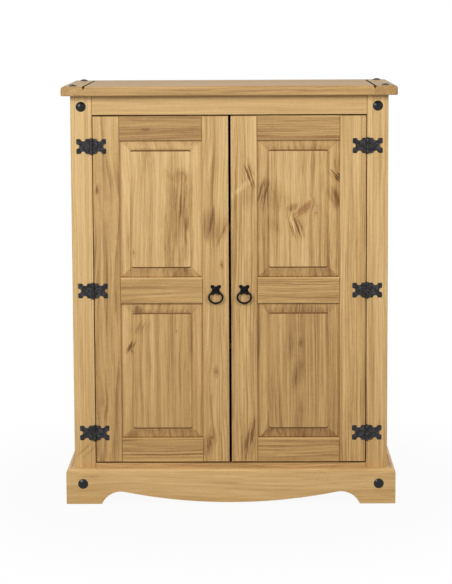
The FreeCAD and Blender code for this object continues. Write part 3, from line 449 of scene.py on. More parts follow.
def mark_group():
    """A knot, a shaded patch, a dark seam or a painted highlight: the grain parts and leans round
    it, and it darkens or, below zero, pales.
    """
    tree, given, made = new_group(
        "GrainMark",
        (("Vector", "Vector"), ("Core", "Float"), ("Shade", "Float"), ("Centre", "Vector"),
         ("Core size", "Vector"), ("Halo size", "Vector"), ("Ragged", "Vector"), ("Depth", "Float"),
         ("Darkening", "Float"), ("Spread", "Float"), ("Lean", "Float"), ("Hatch", "Float")),
        (("Vector", "Vector"), ("Core", "Float"), ("Shade", "Float")))
    place, centre = given["Vector"], given["Centre"]
    parts = split(tree, vectors(tree, "SUBTRACT", place, centre))
    ragged = vectors(tree, "MULTIPLY", drift(tree, place, RAGGED_CELL, 3.0), given["Ragged"])
    sheared = maths(tree, "SUBTRACT", parts[0], maths(tree, "MULTIPLY", parts[2], given["Lean"]))
    upright = add(tree, "CombineXYZ", sheared, parts[1], parts[2]).outputs[0]
    halo_offset = vectors(tree, "ADD", upright, ragged)
    halo_reach = vectors(tree, "LENGTH", vectors(tree, "DIVIDE", halo_offset, given["Halo size"]))
    halo = fade(tree, halo_reach, *HALO_FADE)
    push = maths(tree, "MULTIPLY", parts[0], given["Spread"])
    push = add(tree, "CombineXYZ", maths(tree, "MULTIPLY", push, halo)).outputs[0]
    feed(tree, made["Vector"], vectors(tree, "SUBTRACT", place, push))
    core_offset = vectors(tree, "ADD", upright, vectors(tree, "MULTIPLY", ragged, CORE_RAGGED))
    core_reach = vectors(tree, "LENGTH", vectors(tree, "DIVIDE", core_offset, given["Core size"]))
    core = maths(tree, "MULTIPLY", fade(tree, core_reach, *CORE_FADE), given["Depth"])
    feed(tree, made["Core"], maths(tree, "MAXIMUM", core, given["Core"]))
    strokes = vectors(tree, "ADD", upright, vectors(tree, "MULTIPLY", centre, STROKE_SHUFFLE))
    strokes = fade(tree, grain_noise(tree, strokes, STROKE_CELL, 1.5)[0], *STROKE_FADE)
    strokes = maths(tree, "MULTIPLY_ADD", strokes, given["Hatch"], 1.0)
    darker = maths(tree, "MULTIPLY", maths(tree, "MULTIPLY", halo, strokes), given["Darkening"])
    feed(tree, made["Shade"], maths(tree, "ADD", darker, given["Shade"]))
    return tree


def figure_group():
    """The figure of sawn wood: yearly rings, streaks, fibres, flecks and end grain."""
    tree, given, made = new_group(
        "PineFigure",
        (("Vector", "Vector"), ("Across", "Float"), ("Offset", "Vector"), ("Stave", "Float"),
         ("Ring", "Float"), ("Pith", "Vector"), ("Wander", "Float"), ("Contrast", "Float"),
         ("Streaks", "Float"), ("End", "Float"), ("Core", "Float"), ("Shade", "Float"),
         ("Pale", "Color"), ("Honey", "Color"), ("Dark", "Color"), ("Knot", "Color")),
        (("Color", "Color"), ("Height", "Float"), ("Late", "Float")))
    stave = maths(tree, "FLOOR", maths(tree, "DIVIDE", given["Across"], given["Stave"]))
    shuffle = add(tree, "TexWhiteNoise", noise_dimensions="1D", named={"W": stave}).outputs
    slide = vectors(tree, "MULTIPLY", shuffle["Color"], STAVE_SLIDE)
    place = vectors(tree, "ADD", vectors(tree, "ADD", given["Vector"], given["Offset"]), slide)
    slow = add(tree, "VectorMath", drift(tree, place, SLOW_CELL, 1.5), operation="SCALE",
               named={"Scale": given["Wander"]}).outputs[0]
    quick = vectors(tree, "MULTIPLY", drift(tree, place, QUICK_CELL), QUICK_SWING)
    bent = vectors(tree, "ADD", vectors(tree, "ADD", given["Vector"], slow), quick)
    bent = vectors(tree, "ADD", bent, vectors(tree, "MULTIPLY", slide, RING_SLIDE))
    section = vectors(tree, "SUBTRACT", bent, given["Pith"])
    section = vectors(tree, "MULTIPLY", section, (1.0, 1.0, 0.0))
    years = maths(tree, "DIVIDE", vectors(tree, "LENGTH", section), given["Ring"])
    spacing = add(tree, "TexNoise", noise_dimensions="1D", named={
        "W": maths(tree, "MULTIPLY", years, 0.45), "Scale": 1.0, "Detail": 1.0}).outputs[0]
    years = maths(tree, "ADD", years, maths(tree, "MULTIPLY", spacing, 2.2))
    year = maths(tree, "FRACT", years)
    late = maths(tree, "MULTIPLY", fade(tree, year, *YEAR_GROWTH), fade(tree, year, *YEAR_END))
    patchy = fade(tree, grain_noise(tree, place, RING_PATCH_CELL)[0], *RING_PATCH_FADE)
    rings = maths(tree, "MULTIPLY", maths(tree, "MULTIPLY", late, patchy), given["Contrast"])
    lengthwise = fade(tree, given["End"], *LENGTHWISE_FADE)
    shown = maths(tree, "MULTIPLY", rings, fade(tree, lengthwise, 0.0, 1.0, END_RINGS, 1.0))
    shade = maths(tree, "ADD", maths(tree, "ADD", given["Shade"], shown), PLAIN_SHADE)
    streaks = maths(tree, "MULTIPLY", given["Streaks"], lengthwise)
    trunk = vectors(tree, "ADD", place, vectors(tree, "ADD", slow, quick))
    for cell, share in STREAK_LAYERS:
        layer = maths(tree, "MULTIPLY", swing(tree, trunk, cell), streaks)
        shade = maths(tree, "MULTIPLY_ADD", layer, share, shade)
    fibre = swing(tree, place, FIBRE_CELL, 3.0)
    mottle = swing(tree, place, MOTTLE_CELL)
    fleck = fade(tree, grain_noise(tree, place, FLECK_CELL)[0], *FLECK_FADE)
    stave_tone = maths(tree, "SUBTRACT", shuffle["Value"], 0.5)
    for part, share in ((fibre, 0.3), (mottle, 0.16), (fleck, 0.3), (stave_tone, 0.14)):
        shade = maths(tree, "MULTIPLY_ADD", part, share, shade)
    shade = maths(tree, "ADD", shade, given["End"])
    wood = blend_colours(tree, linear(tree, shade, 0.0, HONEY_SHADE), given["Pale"], given["Honey"])
    wood = blend_colours(tree, linear(tree, shade, HONEY_SHADE, DARK_SHADE), wood, given["Dark"])
    # Grime and painted groove shade: the darkest shades turn nearly black
    wood = blend_colours(tree, linear(tree, shade, *GRIME_AND_SHADE_LEVELS), wood, GRIME_AND_SHADE)
    feed(tree, made["Color"], blend_colours(tree, given["Core"], wood, given["Knot"]))
    height = maths(tree, "MULTIPLY_ADD", fibre, 0.6, maths(tree, "MULTIPLY", rings, 0.5))
    feed(tree, made["Height"], maths(tree, "SUBTRACT", height, fleck))
    feed(tree, made["Late"], rings)
    return tree


class Mark(NamedTuple):
    """A knot, patch or seam. Its sizes are millimetres across, through and along the grain."""

    centre: tuple
    core: tuple
    halo: tuple
    # How far noise shifts the halo's outline
    ragged: tuple
    # How dark the core is, and how much darker the halo
    depth: float
    shade: float
    # How far the grain parts round it, and how far it leans across for each step along
    spread: float
    lean: float
    # How far the halo is broken up into strokes
    hatch: float


def knot(across, along, radius, depth=0.9, shade=0.35):
    """A knot with the grain parting round it."""
    core = (radius, THROUGH, radius * 1.25)
    halo = (radius * 3.2, THROUGH, radius * 7.0)
    return Mark((across, 0.0, along), core, halo, (5.0, 0.0, 9.0), depth, shade, 0.6, 0.0, 0.4)


def patch(across, along, half_width, half_length, shade, lean=0.0, hatch=0.5):
    """A soft shaded patch, plain or hatched with fine strokes."""
    halo = (half_width, THROUGH, half_length)
    ragged = (half_width * 0.7, 0.0, half_length * 0.5)
    return Mark((across, 0.0, along), NO_CORE, halo, ragged, 0.0, shade, 0.1, lean, hatch)


def seam_dirt_and_shade(centre, reach):
    """Dirt and wax in the narrow line between the top board and its end, with the groove's shade
    painted in.
    """
    return Mark(centre, NO_CORE, reach, (0.0, 0.0, 0.0), 0.0, 2.6, 0.0, 0.0, 0.0)


class Board(NamedTuple):
    """One board: how it lies, the figure of its wood and what marks its face, in millimetres."""

    node: str
    axes: tuple
    # Width of a year's ring
    ring: float = 5.0
    # How far the trunk's middle lies from the board's, across and through the grain
    pith: tuple = (50.0, 120.0)
    # How far the rings wander on their way along the board
    wander: float = 26.0
    # How strong the rings and the streaks are, and how much darker the whole board is
    contrast: float = 0.4
    streaks: float = 1.0
    tone: float = 0.0
    # Width of the strips that the board is glued up from
    stave: float = 2000.0
    # How much darker the end grain is
    end: float = 0.62
    marks: tuple = ()
    # A raised panel's field: its centre across and along, how far the painted shade above it
    # reaches, and how dark the painted shade is above and below it
    field: tuple = None
    # Painted light or shade on the upper edge: darker, or paler where this is below zero
    edge: float = 0.0


# Where the top board meets its ends, in millimetres as all places on the boards are
JOINT_X = 352.85
TOP_FACE = 1034.0
# Seams: dirt in the joints, with the shade of the grooves painted in
TOP_LINES = tuple(seam_dirt_and_shade((0.0, TOP_FACE, side * JOINT_X), (900.0, 8.0, 4.2)) for side in (-1, 1))
# Painted highlight along the top board's rounded front edge
PAINTED_ARRIS_HIGHLIGHT = Mark((-200.0, TOP_FACE, -170.0), NO_CORE, (11.0, 11.0, 330.0), (2.0, 0.0, 30.0),
                   0.0, -0.22, 0.0, 0.0, 0.0)
END_LINES = tuple(seam_dirt_and_shade((side * JOINT_X, TOP_FACE, 0.0), (4.2, 8.0, 900.0)) for side in (-1, 1))

# How much darker the end grain is on some boards
LEAST_END = 0.03
PANEL_END = 0.75
LOWER_PANEL_END = 0.6

# The raised panels, and the painted shade and light round their fields
BEVEL_BACK = -162.0
BEVEL_WIDTH = 27.0
FIELD_ACROSS = 168.4
FIELD_HALF_WIDTH = 73.4
FIELD_HALF_HEIGHT = 141.9
UPPER_FIELD = 732.1
LOWER_FIELD = 330.3
BEVEL_SHADOW_LINE = 0.4
LOWER_REACH = 24.0
SIDE_REACH = 6.0
SIDE_PAINTED_LIGHT = -0.02
SIDE_PAINTED_SHADE = 0.2

# Width of the painted highlight on a rail's upper edge
EDGE_HIGHLIGHT_WIDTH = 5.0

BOARDS = (
    Board("top_board", FLAT, ring=9, stave=96, tone=0.24, contrast=0.14, streaks=0.6,
          marks=TOP_LINES + (PAINTED_ARRIS_HIGHLIGHT,)),
    *(Board("top_end_" + side, FLAT_DEEP, ring=9, contrast=0.12, streaks=0.6, tone=0.24,
            end=LEAST_END, marks=END_LINES) for side in SIDES),
    Board("top_rail", LEVEL, pith=(90, 60), contrast=0.13, streaks=0.5, wander=10, tone=-0.1),
    Board("bottom_rail", LEVEL, contrast=0.25, tone=-0.18),
    Board("front_post_left", UPRIGHT, ring=7.5, pith=(95, 50), contrast=0.24, wander=12,
          streaks=0.8, tone=-0.22, marks=(patch(-358, 130, 34, 30, 0.12, 1, 1),)),
    Board("front_post_right", UPRIGHT, ring=7, pith=(95, 50), contrast=0.22, wander=12,
          streaks=0.8, tone=-0.2),
    *(Board("side_panel_" + side, SIDE, stave=88, contrast=0.3, streaks=0.75) for side in SIDES),
    Board("bottom_board", FLAT, stave=92),
    Board("rear_rail", LEVEL),
    *(Board("shelf_" + level, FLAT, stave=92) for level in ("lower", "upper")),
    Board("corner_blocks", UPRIGHT, tone=0.1),
    Board("plinth_front", LEVEL, ring=9, contrast=0.15, streaks=0.6, wander=30, tone=-0.34,
          marks=(patch(67, -349, 14, 45, 0.15),)),
    *(Board("plinth_side_" + side, SIDE_LEVEL, ring=8, contrast=0.25, tone=-0.2)
      for side in SIDES),
    Board("door_left_hinge_stile", UPRIGHT, ring=8, pith=(60, 70), contrast=0.3, wander=40,
          streaks=0.8, tone=0.03, marks=(
              patch(-298, 815, 22, 90, 0.22, -0.1), knot(-323, 781, 2.5),
              knot(-316, 250, 6, 0.15, 0.12))),
    Board("door_left_meeting_stile", UPRIGHT, ring=9, pith=(60, 80), wander=40, contrast=0.22,
          tone=-0.1, marks=(
              patch(-53, 694, 30, 54, 0.36, 0.2, 0), patch(-22, 680, 26, 44, 0.28, 0.4, 0),
              patch(-46, 702, 4.5, 66, 0.24, 0.2, 0), patch(-19, 672, 5, 44, 0.26, 0.42, 0),
              knot(-21, 595, 2.5), knot(-35, 329, 3, 0.7), knot(-46, 163, 5, 0.7),
              knot(-56, 141, 5, 0.75))),
    Board("door_left_top_rail", LEVEL, ring=7, pith=(70, 60), contrast=0.12, streaks=0.6,
          tone=0.27, marks=(knot(928, -204, 2, 0.3, 0.2),)),
    Board("door_left_middle_rail", LEVEL, ring=7, contrast=0.2, streaks=0.7, tone=0.02, edge=-0.4),
    Board("door_left_bottom_rail", LEVEL, ring=8.5, pith=(80, 50), contrast=0.36, wander=16,
          streaks=0.85, tone=-0.02, edge=-0.3),
    Board("door_left_upper_panel", UPRIGHT, ring=11, pith=(60, 100), wander=24, contrast=0.24,
          stave=82, tone=-0.18, end=PANEL_END, field=(-FIELD_ACROSS, UPPER_FIELD, 10, 0.55, 0.24),
          marks=(
              patch(-117, 712, 30, 180, 0.38, 0, 0.4), patch(-126, 814, 34, 22, 0.2, -0.8),
              patch(-132, 700, 52, 210, 0.22, 0, 0.2), patch(-250, 640, 9, 60, 0.16),
              knot(-235, 625, 2.2, 0.6, 0.2))),
    Board("door_left_lower_panel", UPRIGHT, ring=12, pith=(50, 70), wander=18, contrast=0.26,
          streaks=0.75, stave=70, tone=-0.06, end=LOWER_PANEL_END,
          field=(-FIELD_ACROSS, LOWER_FIELD, 20, 0.2, 0.16), marks=(
              patch(-246, 392, 12, 22, 0.5, 0.6, 0.9), knot(-243, 380, 2.6, 0.8, 0.3),
              patch(-228, 484, 14, 16, 0.5, 0, 0.3), patch(-215, 440, 34, 26, 0.16, 0.5, 0.6),
              knot(-133, 430, 2, 0.8, 0.1))),
    Board("door_right_hinge_stile", UPRIGHT, ring=6, pith=(90, 60), contrast=0.28, wander=14,
          tone=-0.06),
    Board("door_right_meeting_stile", UPRIGHT, ring=7, pith=(80, 60), contrast=0.22, tone=-0.14,
          marks=(
              patch(41, 824, 24, 50, 0.4, -0.35, 1), patch(44, 762, 34, 44, 0.18, 0.3, 0.2),
              patch(37, 791, 13, 46, -0.24, 1.12, 0), patch(47, 156, 24, 70, 0.42, 0.15, 0.5))),
    Board("door_right_top_rail", LEVEL, ring=7.5, pith=(80, 50), contrast=0.36, wander=12,
          streaks=0.8, tone=0.2),
    Board("door_right_middle_rail", LEVEL, ring=6, contrast=0.24, streaks=0.8, tone=-0.06,
          edge=-0.3),
    Board("door_right_bottom_rail", LEVEL, ring=9, pith=(60, 60), contrast=0.34, wander=30,
          streaks=0.85, tone=-0.06, edge=-0.3),
    Board("door_right_upper_panel", UPRIGHT, ring=11, pith=(60, 90), wander=36, contrast=0.24,
          stave=97, tone=-0.06, end=PANEL_END, field=(FIELD_ACROSS, UPPER_FIELD, 20, 0.24, 0.14),
          marks=(
              patch(161, 690, 24, 46, 0.36, -0.3, 1), patch(116, 760, 46, 60, 0.2, -0.4, 0.2),
              patch(115, 692, 28, 34, 0.14, -0.3, 0.4), patch(153, 736, 20, 15, 0.36, 0.8, 0),
              patch(164, 713, 18, 13, -0.3, 1.2, 1),
              Mark((181, 0, 731), (13, THROUGH, 23), (28, THROUGH, 36), (4, 0, 5), 0.5, 0.14,
                   0.5, 0.85, 0.8),
              knot(211, 739, 1.8, 0.9, 0.2), knot(211, 722, 2.2, 0.85, 0.2),
              patch(82, 765, 17, 48, 0.4, 0.25, 1), patch(263, 812, 20, 18, 0.7, -0.9, 1),
              patch(262, 757, 22, 38, 0.4, -0.4, 0.3), patch(261, 848, 12, 34, 0.25, 0, 1))),
    Board("door_right_lower_panel", UPRIGHT, ring=9, pith=(60, 80), wander=20, contrast=0.26,
          streaks=0.75, stave=73, end=LOWER_PANEL_END,
          field=(FIELD_ACROSS, LOWER_FIELD, 20, 0.2, 0.16), marks=(
              patch(166, 322, 20, 50, 0.26, 0.2, 0.3), knot(175, 400, 2.6, 0.6, 0.3),
              patch(150, 400, 18, 60, 0.14, 0.1, 0.3))),
)


def bevel_painted_shade(tree, place, across, along, reach, top, bottom):
    """Painted shade on the bevel round a panel's field, mitred at the corners: wide above and below
    the field, with a painted shadow line where the lower bevel ends, and narrow at its sides,
    fading to faint painted light on the side bevels."""
    centre = (across, BEVEL_BACK, along)
    parts = split(tree, vectors(tree, "SUBTRACT", place, centre))
    out_sideways = maths(tree, "SUBTRACT", maths(tree, "ABSOLUTE", parts[0]), FIELD_HALF_WIDTH)
    out_lengthways = maths(tree, "SUBTRACT", maths(tree, "ABSOLUTE", parts[2]), FIELD_HALF_HEIGHT)
    outward = maths(tree, "MAXIMUM", out_sideways, out_lengthways)
    at_end = fade(tree, maths(tree, "SUBTRACT", out_lengthways, out_sideways), -0.8, 0.8)
    above = maths(tree, "GREATER_THAN", parts[2], 0.0)
    # Painted shade above the field, and below it with a painted shadow line at the bevel's foot
    upper = maths(tree, "MULTIPLY", fade(tree, outward, 0.0, reach, 1.0, 0.2), top)
    lower = fade(tree, outward, 0.0, LOWER_REACH, bottom, bottom * 0.6)
    shadow_line = fade(tree, outward, BEVEL_WIDTH - 3.5, BEVEL_WIDTH - 0.5, 0.0, BEVEL_SHADOW_LINE)
    share = blend(tree, above, maths(tree, "ADD", lower, shadow_line), upper)
    # Painted shade at the field's sides, fading to faint painted light on the side bevels
    beside = fade(tree, outward, 0.0, SIDE_REACH, SIDE_PAINTED_SHADE, SIDE_PAINTED_LIGHT)
    share = blend(tree, at_end, beside, share)
    share = maths(tree, "MULTIPLY", share, fade(tree, outward, -0.8, 0.6))
    return maths(tree, "MULTIPLY", share, fade(tree, parts[1], -1.0, 1.0, 1.0, 0.0))


def pine_finish(entry, number, groups):
    """The waxed finish of one board."""
    pine = bpy.context.scene.cupboard_pine
    material, tree, coordinates = new_material("pine_" + entry.node)
    low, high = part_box(entry.node)
    over, through, lengthwise = entry.axes
    axes = split(tree, coordinates["Object"])
    ordered = add(tree, "CombineXYZ", *(axes[axis] for axis in entry.axes)).outputs[0]
    place = vectors(tree, "MULTIPLY", ordered, (PER_MM, PER_MM, PER_MM))
    across = split(tree, place)[0]
    # Share of the painted shade, from none at a metre up to all of it at the floor
    shade_below_share = linear(tree, axes[2], 1.0, 0.0)
    normal = split(tree, coordinates["Normal"])[lengthwise]
    end_grain = maths(tree, "MULTIPLY", maths(tree, "ABSOLUTE", normal), END_GAIN)
    end_grain = maths(tree, "POWER", maths(tree, "MINIMUM", end_grain, 1.0), END_POWER)
    end_grain = maths(tree, "MULTIPLY", end_grain, entry.end)
    core, shade = 0.0, maths(tree, "MULTIPLY_ADD", shade_below_share, pine.painted_shade_below, entry.tone)
    # Painted highlight on a rail's upper edge
    if entry.edge:
        top = high[over] * PER_MM
        edge = fade(tree, across, top - EDGE_HIGHLIGHT_WIDTH, top - 1.0, 0.0, entry.edge)
        shade = maths(tree, "ADD", shade, edge)
    # Painted shade and light round a raised panel's field
    if entry.field:
        shade = maths(tree, "ADD", shade, bevel_painted_shade(tree, place, *entry.field))
    for mark in entry.marks:
        place, core, shade = add(
            tree, "Group", place, core, shade, *mark, node_tree=groups["mark"]).outputs
    draw = random.Random(number)
    offset = (draw.uniform(0.0, 900.0), draw.uniform(0.0, 900.0), draw.uniform(0.0, 2500.0))
    side = draw.choice((-1.0, 1.0))
    middle = (low + high) * (0.5 * PER_MM)
    pith = (middle[over] + side * entry.pith[0], middle[through] + entry.pith[1], 0.0)
    # Painted shade: the pale colours turn warmer towards the floor
    tints = []
    for tint in (pine.pale, pine.honey):
        warm_shaded = colour(part * warm for part, warm in zip(tint, pine.painted_warmth_below))
        tints.append(blend_colours(tree, shade_below_share, colour(tint), warm_shaded))
    figure = add(
        tree, "Group", place, across, offset, entry.stave, entry.ring, pith, entry.wander,
        entry.contrast, entry.streaks, end_grain, core, shade, *tints, colour(pine.dark),
        colour(pine.knot), node_tree=groups["figure"]).outputs
    rough = fade(tree, figure["Late"], 0.0, 0.6, pine.roughness + 0.05, pine.roughness - 0.05)
    coat(tree, {
        "Base Color": figure["Color"],
        "Roughness": maths(tree, "MAXIMUM", rough, fade(tree, shade, *DULL_SHADES)),
        "Normal": bumped(tree, 0.6, pine.relief, figure["Height"]), "Specular IOR Level": 0.35})
    return material


# Iron, steel, plastic and the back board


def iron_finish(name, roughness, grey, dents_share, gloss):
    """Black painted iron with hammer marks, rubbed to grey on the high spots."""
    iron = bpy.context.scene.cupboard_iron
    material, tree, coordinates = new_material(name)
    place = coordinates["Object"]
    beaten = add(tree, "TexVoronoi", feature="SMOOTH_F1", named={
        "Vector": place, "Scale": 1.0 / iron.dent_size, "Smoothness": 0.6, "Randomness": 1.0})
    depth = iron.dent_depth * dents_share
    blotch = noise(tree, place, 220.0, 3.0)[0]
    rubbed = fade(tree, blotch, 0.42, 0.66)
    coat(tree, {
        "Base Color": blend_colours(tree, rubbed, colour(iron.black), colour(grey)),
        "Roughness": fade(tree, blotch, 0.3, 0.7, roughness - 0.05, roughness + 0.08),
        "Normal": bumped(tree, 0.9, depth, beaten.outputs["Distance"]),
        "Specular IOR Level": gloss})
    return material


def steel_finish():
    """Bright zinc-plated steel with faint scratches."""
    material, tree, coordinates = new_material("plated_steel")
    scratches = vectors(tree, "MULTIPLY", coordinates["Object"], (4000.0, 400.0, 300.0))
    scratches = noise(tree, scratches)[0]
    coat(tree, {
        "Base Color": blend_colours(
            tree, scratches, (0.55, 0.55, 0.53, 1.0), (0.72, 0.72, 0.70, 1.0)),
        "Roughness": fade(tree, scratches, 0.3, 0.7, 0.26, 0.42), "Metallic": 1.0})
    return material


def plastic_finish():
    """Brown moulded plastic with a fine spark-eroded grain."""
    material, tree, coordinates = new_material("moulded_plastic")
    grain = noise(tree, coordinates["Object"], 2600.0)[0]
    coat(tree, {
        "Base Color": blend_colours(
            tree, grain, (0.10, 0.055, 0.03, 1.0), (0.14, 0.08, 0.045, 1.0)),
        "Roughness": 0.5, "Normal": bumped(tree, 0.4, 0.0001, grain)})
    return material


def back_board_finish():
    """Thin pressed board: brown, mottled with short pressed fibres."""
    material, tree, coordinates = new_material("pressed_board")
    place = coordinates["Object"]
    fibres = vectors(tree, "MULTIPLY", place, (260.0, 260.0, 420.0))
    fibres = noise(tree, fibres, detail=5.0, distortion=1.2)[0]
    clouds = noise(tree, place, 9.0, 3.0)[0]
    share = maths(tree, "MULTIPLY_ADD", clouds, 0.5, maths(tree, "MULTIPLY", fibres, 0.5))
    share = fade(tree, share, 0.35, 0.65)
    coat(tree, {
        "Base Color": blend_colours(tree, share, (0.33, 0.20, 0.10, 1.0), (0.45, 0.29, 0.15, 1.0)),
        "Roughness": 0.62, "Normal": bumped(tree, 0.5, 0.0002, fibres)})
    return material


def dress(thing, material):
    """Give a piece one material."""
    thing.data.materials.clear()
    thing.data.materials.append(material)


# Operators


class CUPBOARD_OT_boards(bpy.types.Operator):
    """Finish every pine board with its own figure"""

    bl_idname = "cupboard.boards"
    bl_label = "Wax the boards"

    def execute(self, context):
        groups = {"mark": mark_group(), "figure": figure_group()}
        for number, entry in enumerate(BOARDS):
            dress(frame["nodes"][entry.node], pine_finish(entry, number, groups))
        return {"FINISHED"}


class CUPBOARD_OT_metal(bpy.types.Operator):
    """Finish the iron, the steel, the plastic and the back board"""

    bl_idname = "cupboard.metal"
    bl_label = "Finish the fittings"

    def execute(self, context):
        iron = context.scene.cupboard_iron
        finishes = {
            "black_iron": iron_finish("beaten_iron", iron.roughness, iron.grey, 1.0, 0.32),
            "zinc_steel": steel_finish(),
            "catch_plastic": plastic_finish(),
            "back_board": back_board_finish()}
        for row in frame["record"]["subparts"]:
            if row["material_slot"] in finishes:
                dress(frame["nodes"][row["node"]], finishes[row["material_slot"]])
        stud_iron = iron_finish("stud_iron", iron.stud_roughness, iron.black, 0.1, 0.34)
        dress(frame["nodes"]["iron_studs"], stud_iron)
        iron_finish("pull_iron", iron.roughness, iron.black, 0.5, 0.12)
        return {"FINISHED"}


def choose(*things):
    """Select only these pieces, and make the first one active."""
    bpy.ops.object.select_all(action="DESELECT")
    for thing in things:
        thing.select_set(True)
    bpy.context.view_layer.objects.active = things[0]


def apply_modifier(piece, kind, **settings):
    """Add a modifier with its settings and apply it."""
    modifier = piece.modifiers.new(kind.lower(), kind)
    for name, value in settings.items():
        setattr(modifier, name, value)
    choose(piece)
    bpy.ops.object.modifier_apply(modifier=modifier.name)


def link(name, data):
    """An object with this mesh, lamp or camera, in the scene."""
    thing = bpy.data.objects.new(name, data)
    bpy.context.scene.collection.objects.link(thing)
    return thing


def copied(master, name, placing):
    """A copy of a piece with its own mesh, moved, turned or mirrored."""
    mesh = master.data.copy()
    mesh.transform(placing)
    if placing.determinant() < 0:
        mesh.flip_normals()
    return link(name, mesh)


def joined(name, pieces):
    """Pieces made one, under one name."""
    choose(*pieces)
    bpy.ops.object.join()
    pieces[0].name = name
    return pieces[0]


def dented(piece, size, depth):
    """Beat round hammer marks into a piece's faces."""
    texture = bpy.data.textures.new("hammer_marks", "VORONOI")
    texture.noise_scale = size
    apply_modifier(piece, "DISPLACE", texture=texture, texture_coords="LOCAL", mid_level=1.0,
                   strength=depth)


def hammered(node, name, grain, size, depth):
    """A fitting's solid, merged and cut fine, with hammer marks beaten into its faces."""
    piece = link(name, frame["nodes"][node].data.copy())
    choose(piece)
    bpy.ops.object.mode_set(mode="EDIT")
    bpy.ops.mesh.select_all(action="SELECT")
    bpy.ops.mesh.remove_doubles(threshold=MERGE_WITHIN)
    bpy.ops.object.mode_set(mode="OBJECT")
    apply_modifier(piece, "REMESH", mode="VOXEL", voxel_size=grain)
    dented(piece, size, depth)
    apply_modifier(piece, "SMOOTH", factor=0.5, iterations=2)
    bpy.ops.object.shade_smooth()
    return piece


def mirror(side):
    """No change for a left piece, and a mirror across the middle for a right one."""
    return Matrix.Scale(-SIDES[side], 4, (1.0, 0.0, 0.0))


def outline(form):
    """A fastener's corners from the shank's tip to near the crown, as (radius, level)."""
    head, height = form.head, form.height
    ball = (head * head + height * height) / (2 * height)
    corners = [(form.shank, -form.length), (form.shank, 0.0), (head, 0.0), (head, form.rim)]
    for step in range(1, form.steps):
        across = head * math.cos(math.pi / 2 * step / form.steps)
        level = math.sqrt(ball * ball - across * across) - (ball - height)
        corners.append((across, max(level, form.rim)))
    return corners


def turned(name, form):
    """A turned fastener: a disc drawn out along Z and widened or narrowed, corner by corner."""
    (radius, level), *corners = outline(form)
    bpy.ops.object.select_all(action="DESELECT")
    bpy.ops.mesh.primitive_circle_add(
        vertices=form.flats, radius=radius, fill_type="NGON", location=(0.0, 0.0, level))
    piece = bpy.context.object
    piece.name = name
    bpy.ops.object.mode_set(mode="EDIT")
    for wide, high in corners:
        bpy.ops.mesh.extrude_region_move(
            TRANSFORM_OT_translate={"value": (0.0, 0.0, high - level)})
        share = wide / radius
        bpy.ops.transform.resize(value=(share, share, 1.0), center_override=(0.0, 0.0, high))
        radius, level = wide, high
    bpy.ops.mesh.select_all(action="SELECT")
    bpy.ops.mesh.normals_make_consistent(inside=False)
    bpy.ops.object.mode_set(mode="OBJECT")
    bpy.ops.object.transform_apply(location=True, rotation=True, scale=True)
    return piece


def block(name, low, high, edge=0.0):
    """A box between two corners, with its edges bevelled where an edge is given."""
    bpy.ops.object.select_all(action="DESELECT")
    middle = (Vector(low) + Vector(high)) / 2
    bpy.ops.mesh.primitive_cube_add(size=1.0, location=middle, scale=Vector(high) - Vector(low))
    piece = bpy.context.object
    piece.name = name
    bpy.ops.object.transform_apply(location=True, rotation=True, scale=True)
    if edge:
        bpy.ops.object.mode_set(mode="EDIT")
        bpy.ops.mesh.select_all(action="SELECT")
        bpy.ops.mesh.bevel(offset=edge, segments=2)
        bpy.ops.object.mode_set(mode="OBJECT")
    return piece


def screw_master():
    """A round-head screw with a slot, standing on the level of its head's seat."""
    screw = turned("screw", SCREW)
    cutter = block("slot_cutter", SLOT_LOW, SLOT_HIGH)
    apply_modifier(screw, "BOOLEAN", operation="DIFFERENCE", object=cutter, solver="EXACT")
    bpy.data.objects.remove(cutter)
    apply_modifier(screw, "BEVEL", width=SCREW_BEVEL, segments=1, limit_method="ANGLE")
    bpy.ops.object.shade_smooth_by_angle(angle=math.radians(40))
    return screw


def finish_piece(piece, finish, body, slot, *nodes):
    """Give a piece its finish and its body, and hide the CAD nodes that it stands for. The slot is
    not used.
    """
    dress(piece, bpy.data.materials[finish])
    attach(piece, body)
    if nodes:
        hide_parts(*nodes)


def facing(tilt, place, spin=0.0):
    """Turn a piece that stands up forward or backward, spun about its axis, at this place."""
    turn = Matrix.Rotation(tilt, 4, "X") @ Matrix.Rotation(spin, 4, "Z")
    return Matrix.Translation(place) @ turn


def even_steps(low, high, count):
    """This many places from low to high, with one at each."""
    return [low + step * (high - low) / (count - 1) for step in range(count)]


class CUPBOARD_OT_hinges(bpy.types.Operator):
    """Beat the twelve hinge leaves out of black iron"""

    bl_idname = "cupboard.hinges"
    bl_label = "Beat the hinge leaves"

    def execute(self, context):
        iron = context.scene.cupboard_iron
        for part, body in (("post", "carcass"), ("door", None)):
            first = part + "_left_leaf_top"
            master = hammered(first, "master_leaf", iron.cut_size, iron.dent_size, iron.dent_depth)
            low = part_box(first)[0]
            for side in SIDES:
                for level in HINGES:
                    node = part + "_" + side + "_leaf_" + level
                    shift = Matrix.Translation((0.0, 0.0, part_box(node)[0].z - low.z))
                    leaf = copied(master, "beaten_" + node, mirror(side) @ shift)
                    finish_piece(leaf, "beaten_iron", body or "door_" + side, "black_iron", node)
            bpy.data.objects.remove(master)
        return {"FINISHED"}


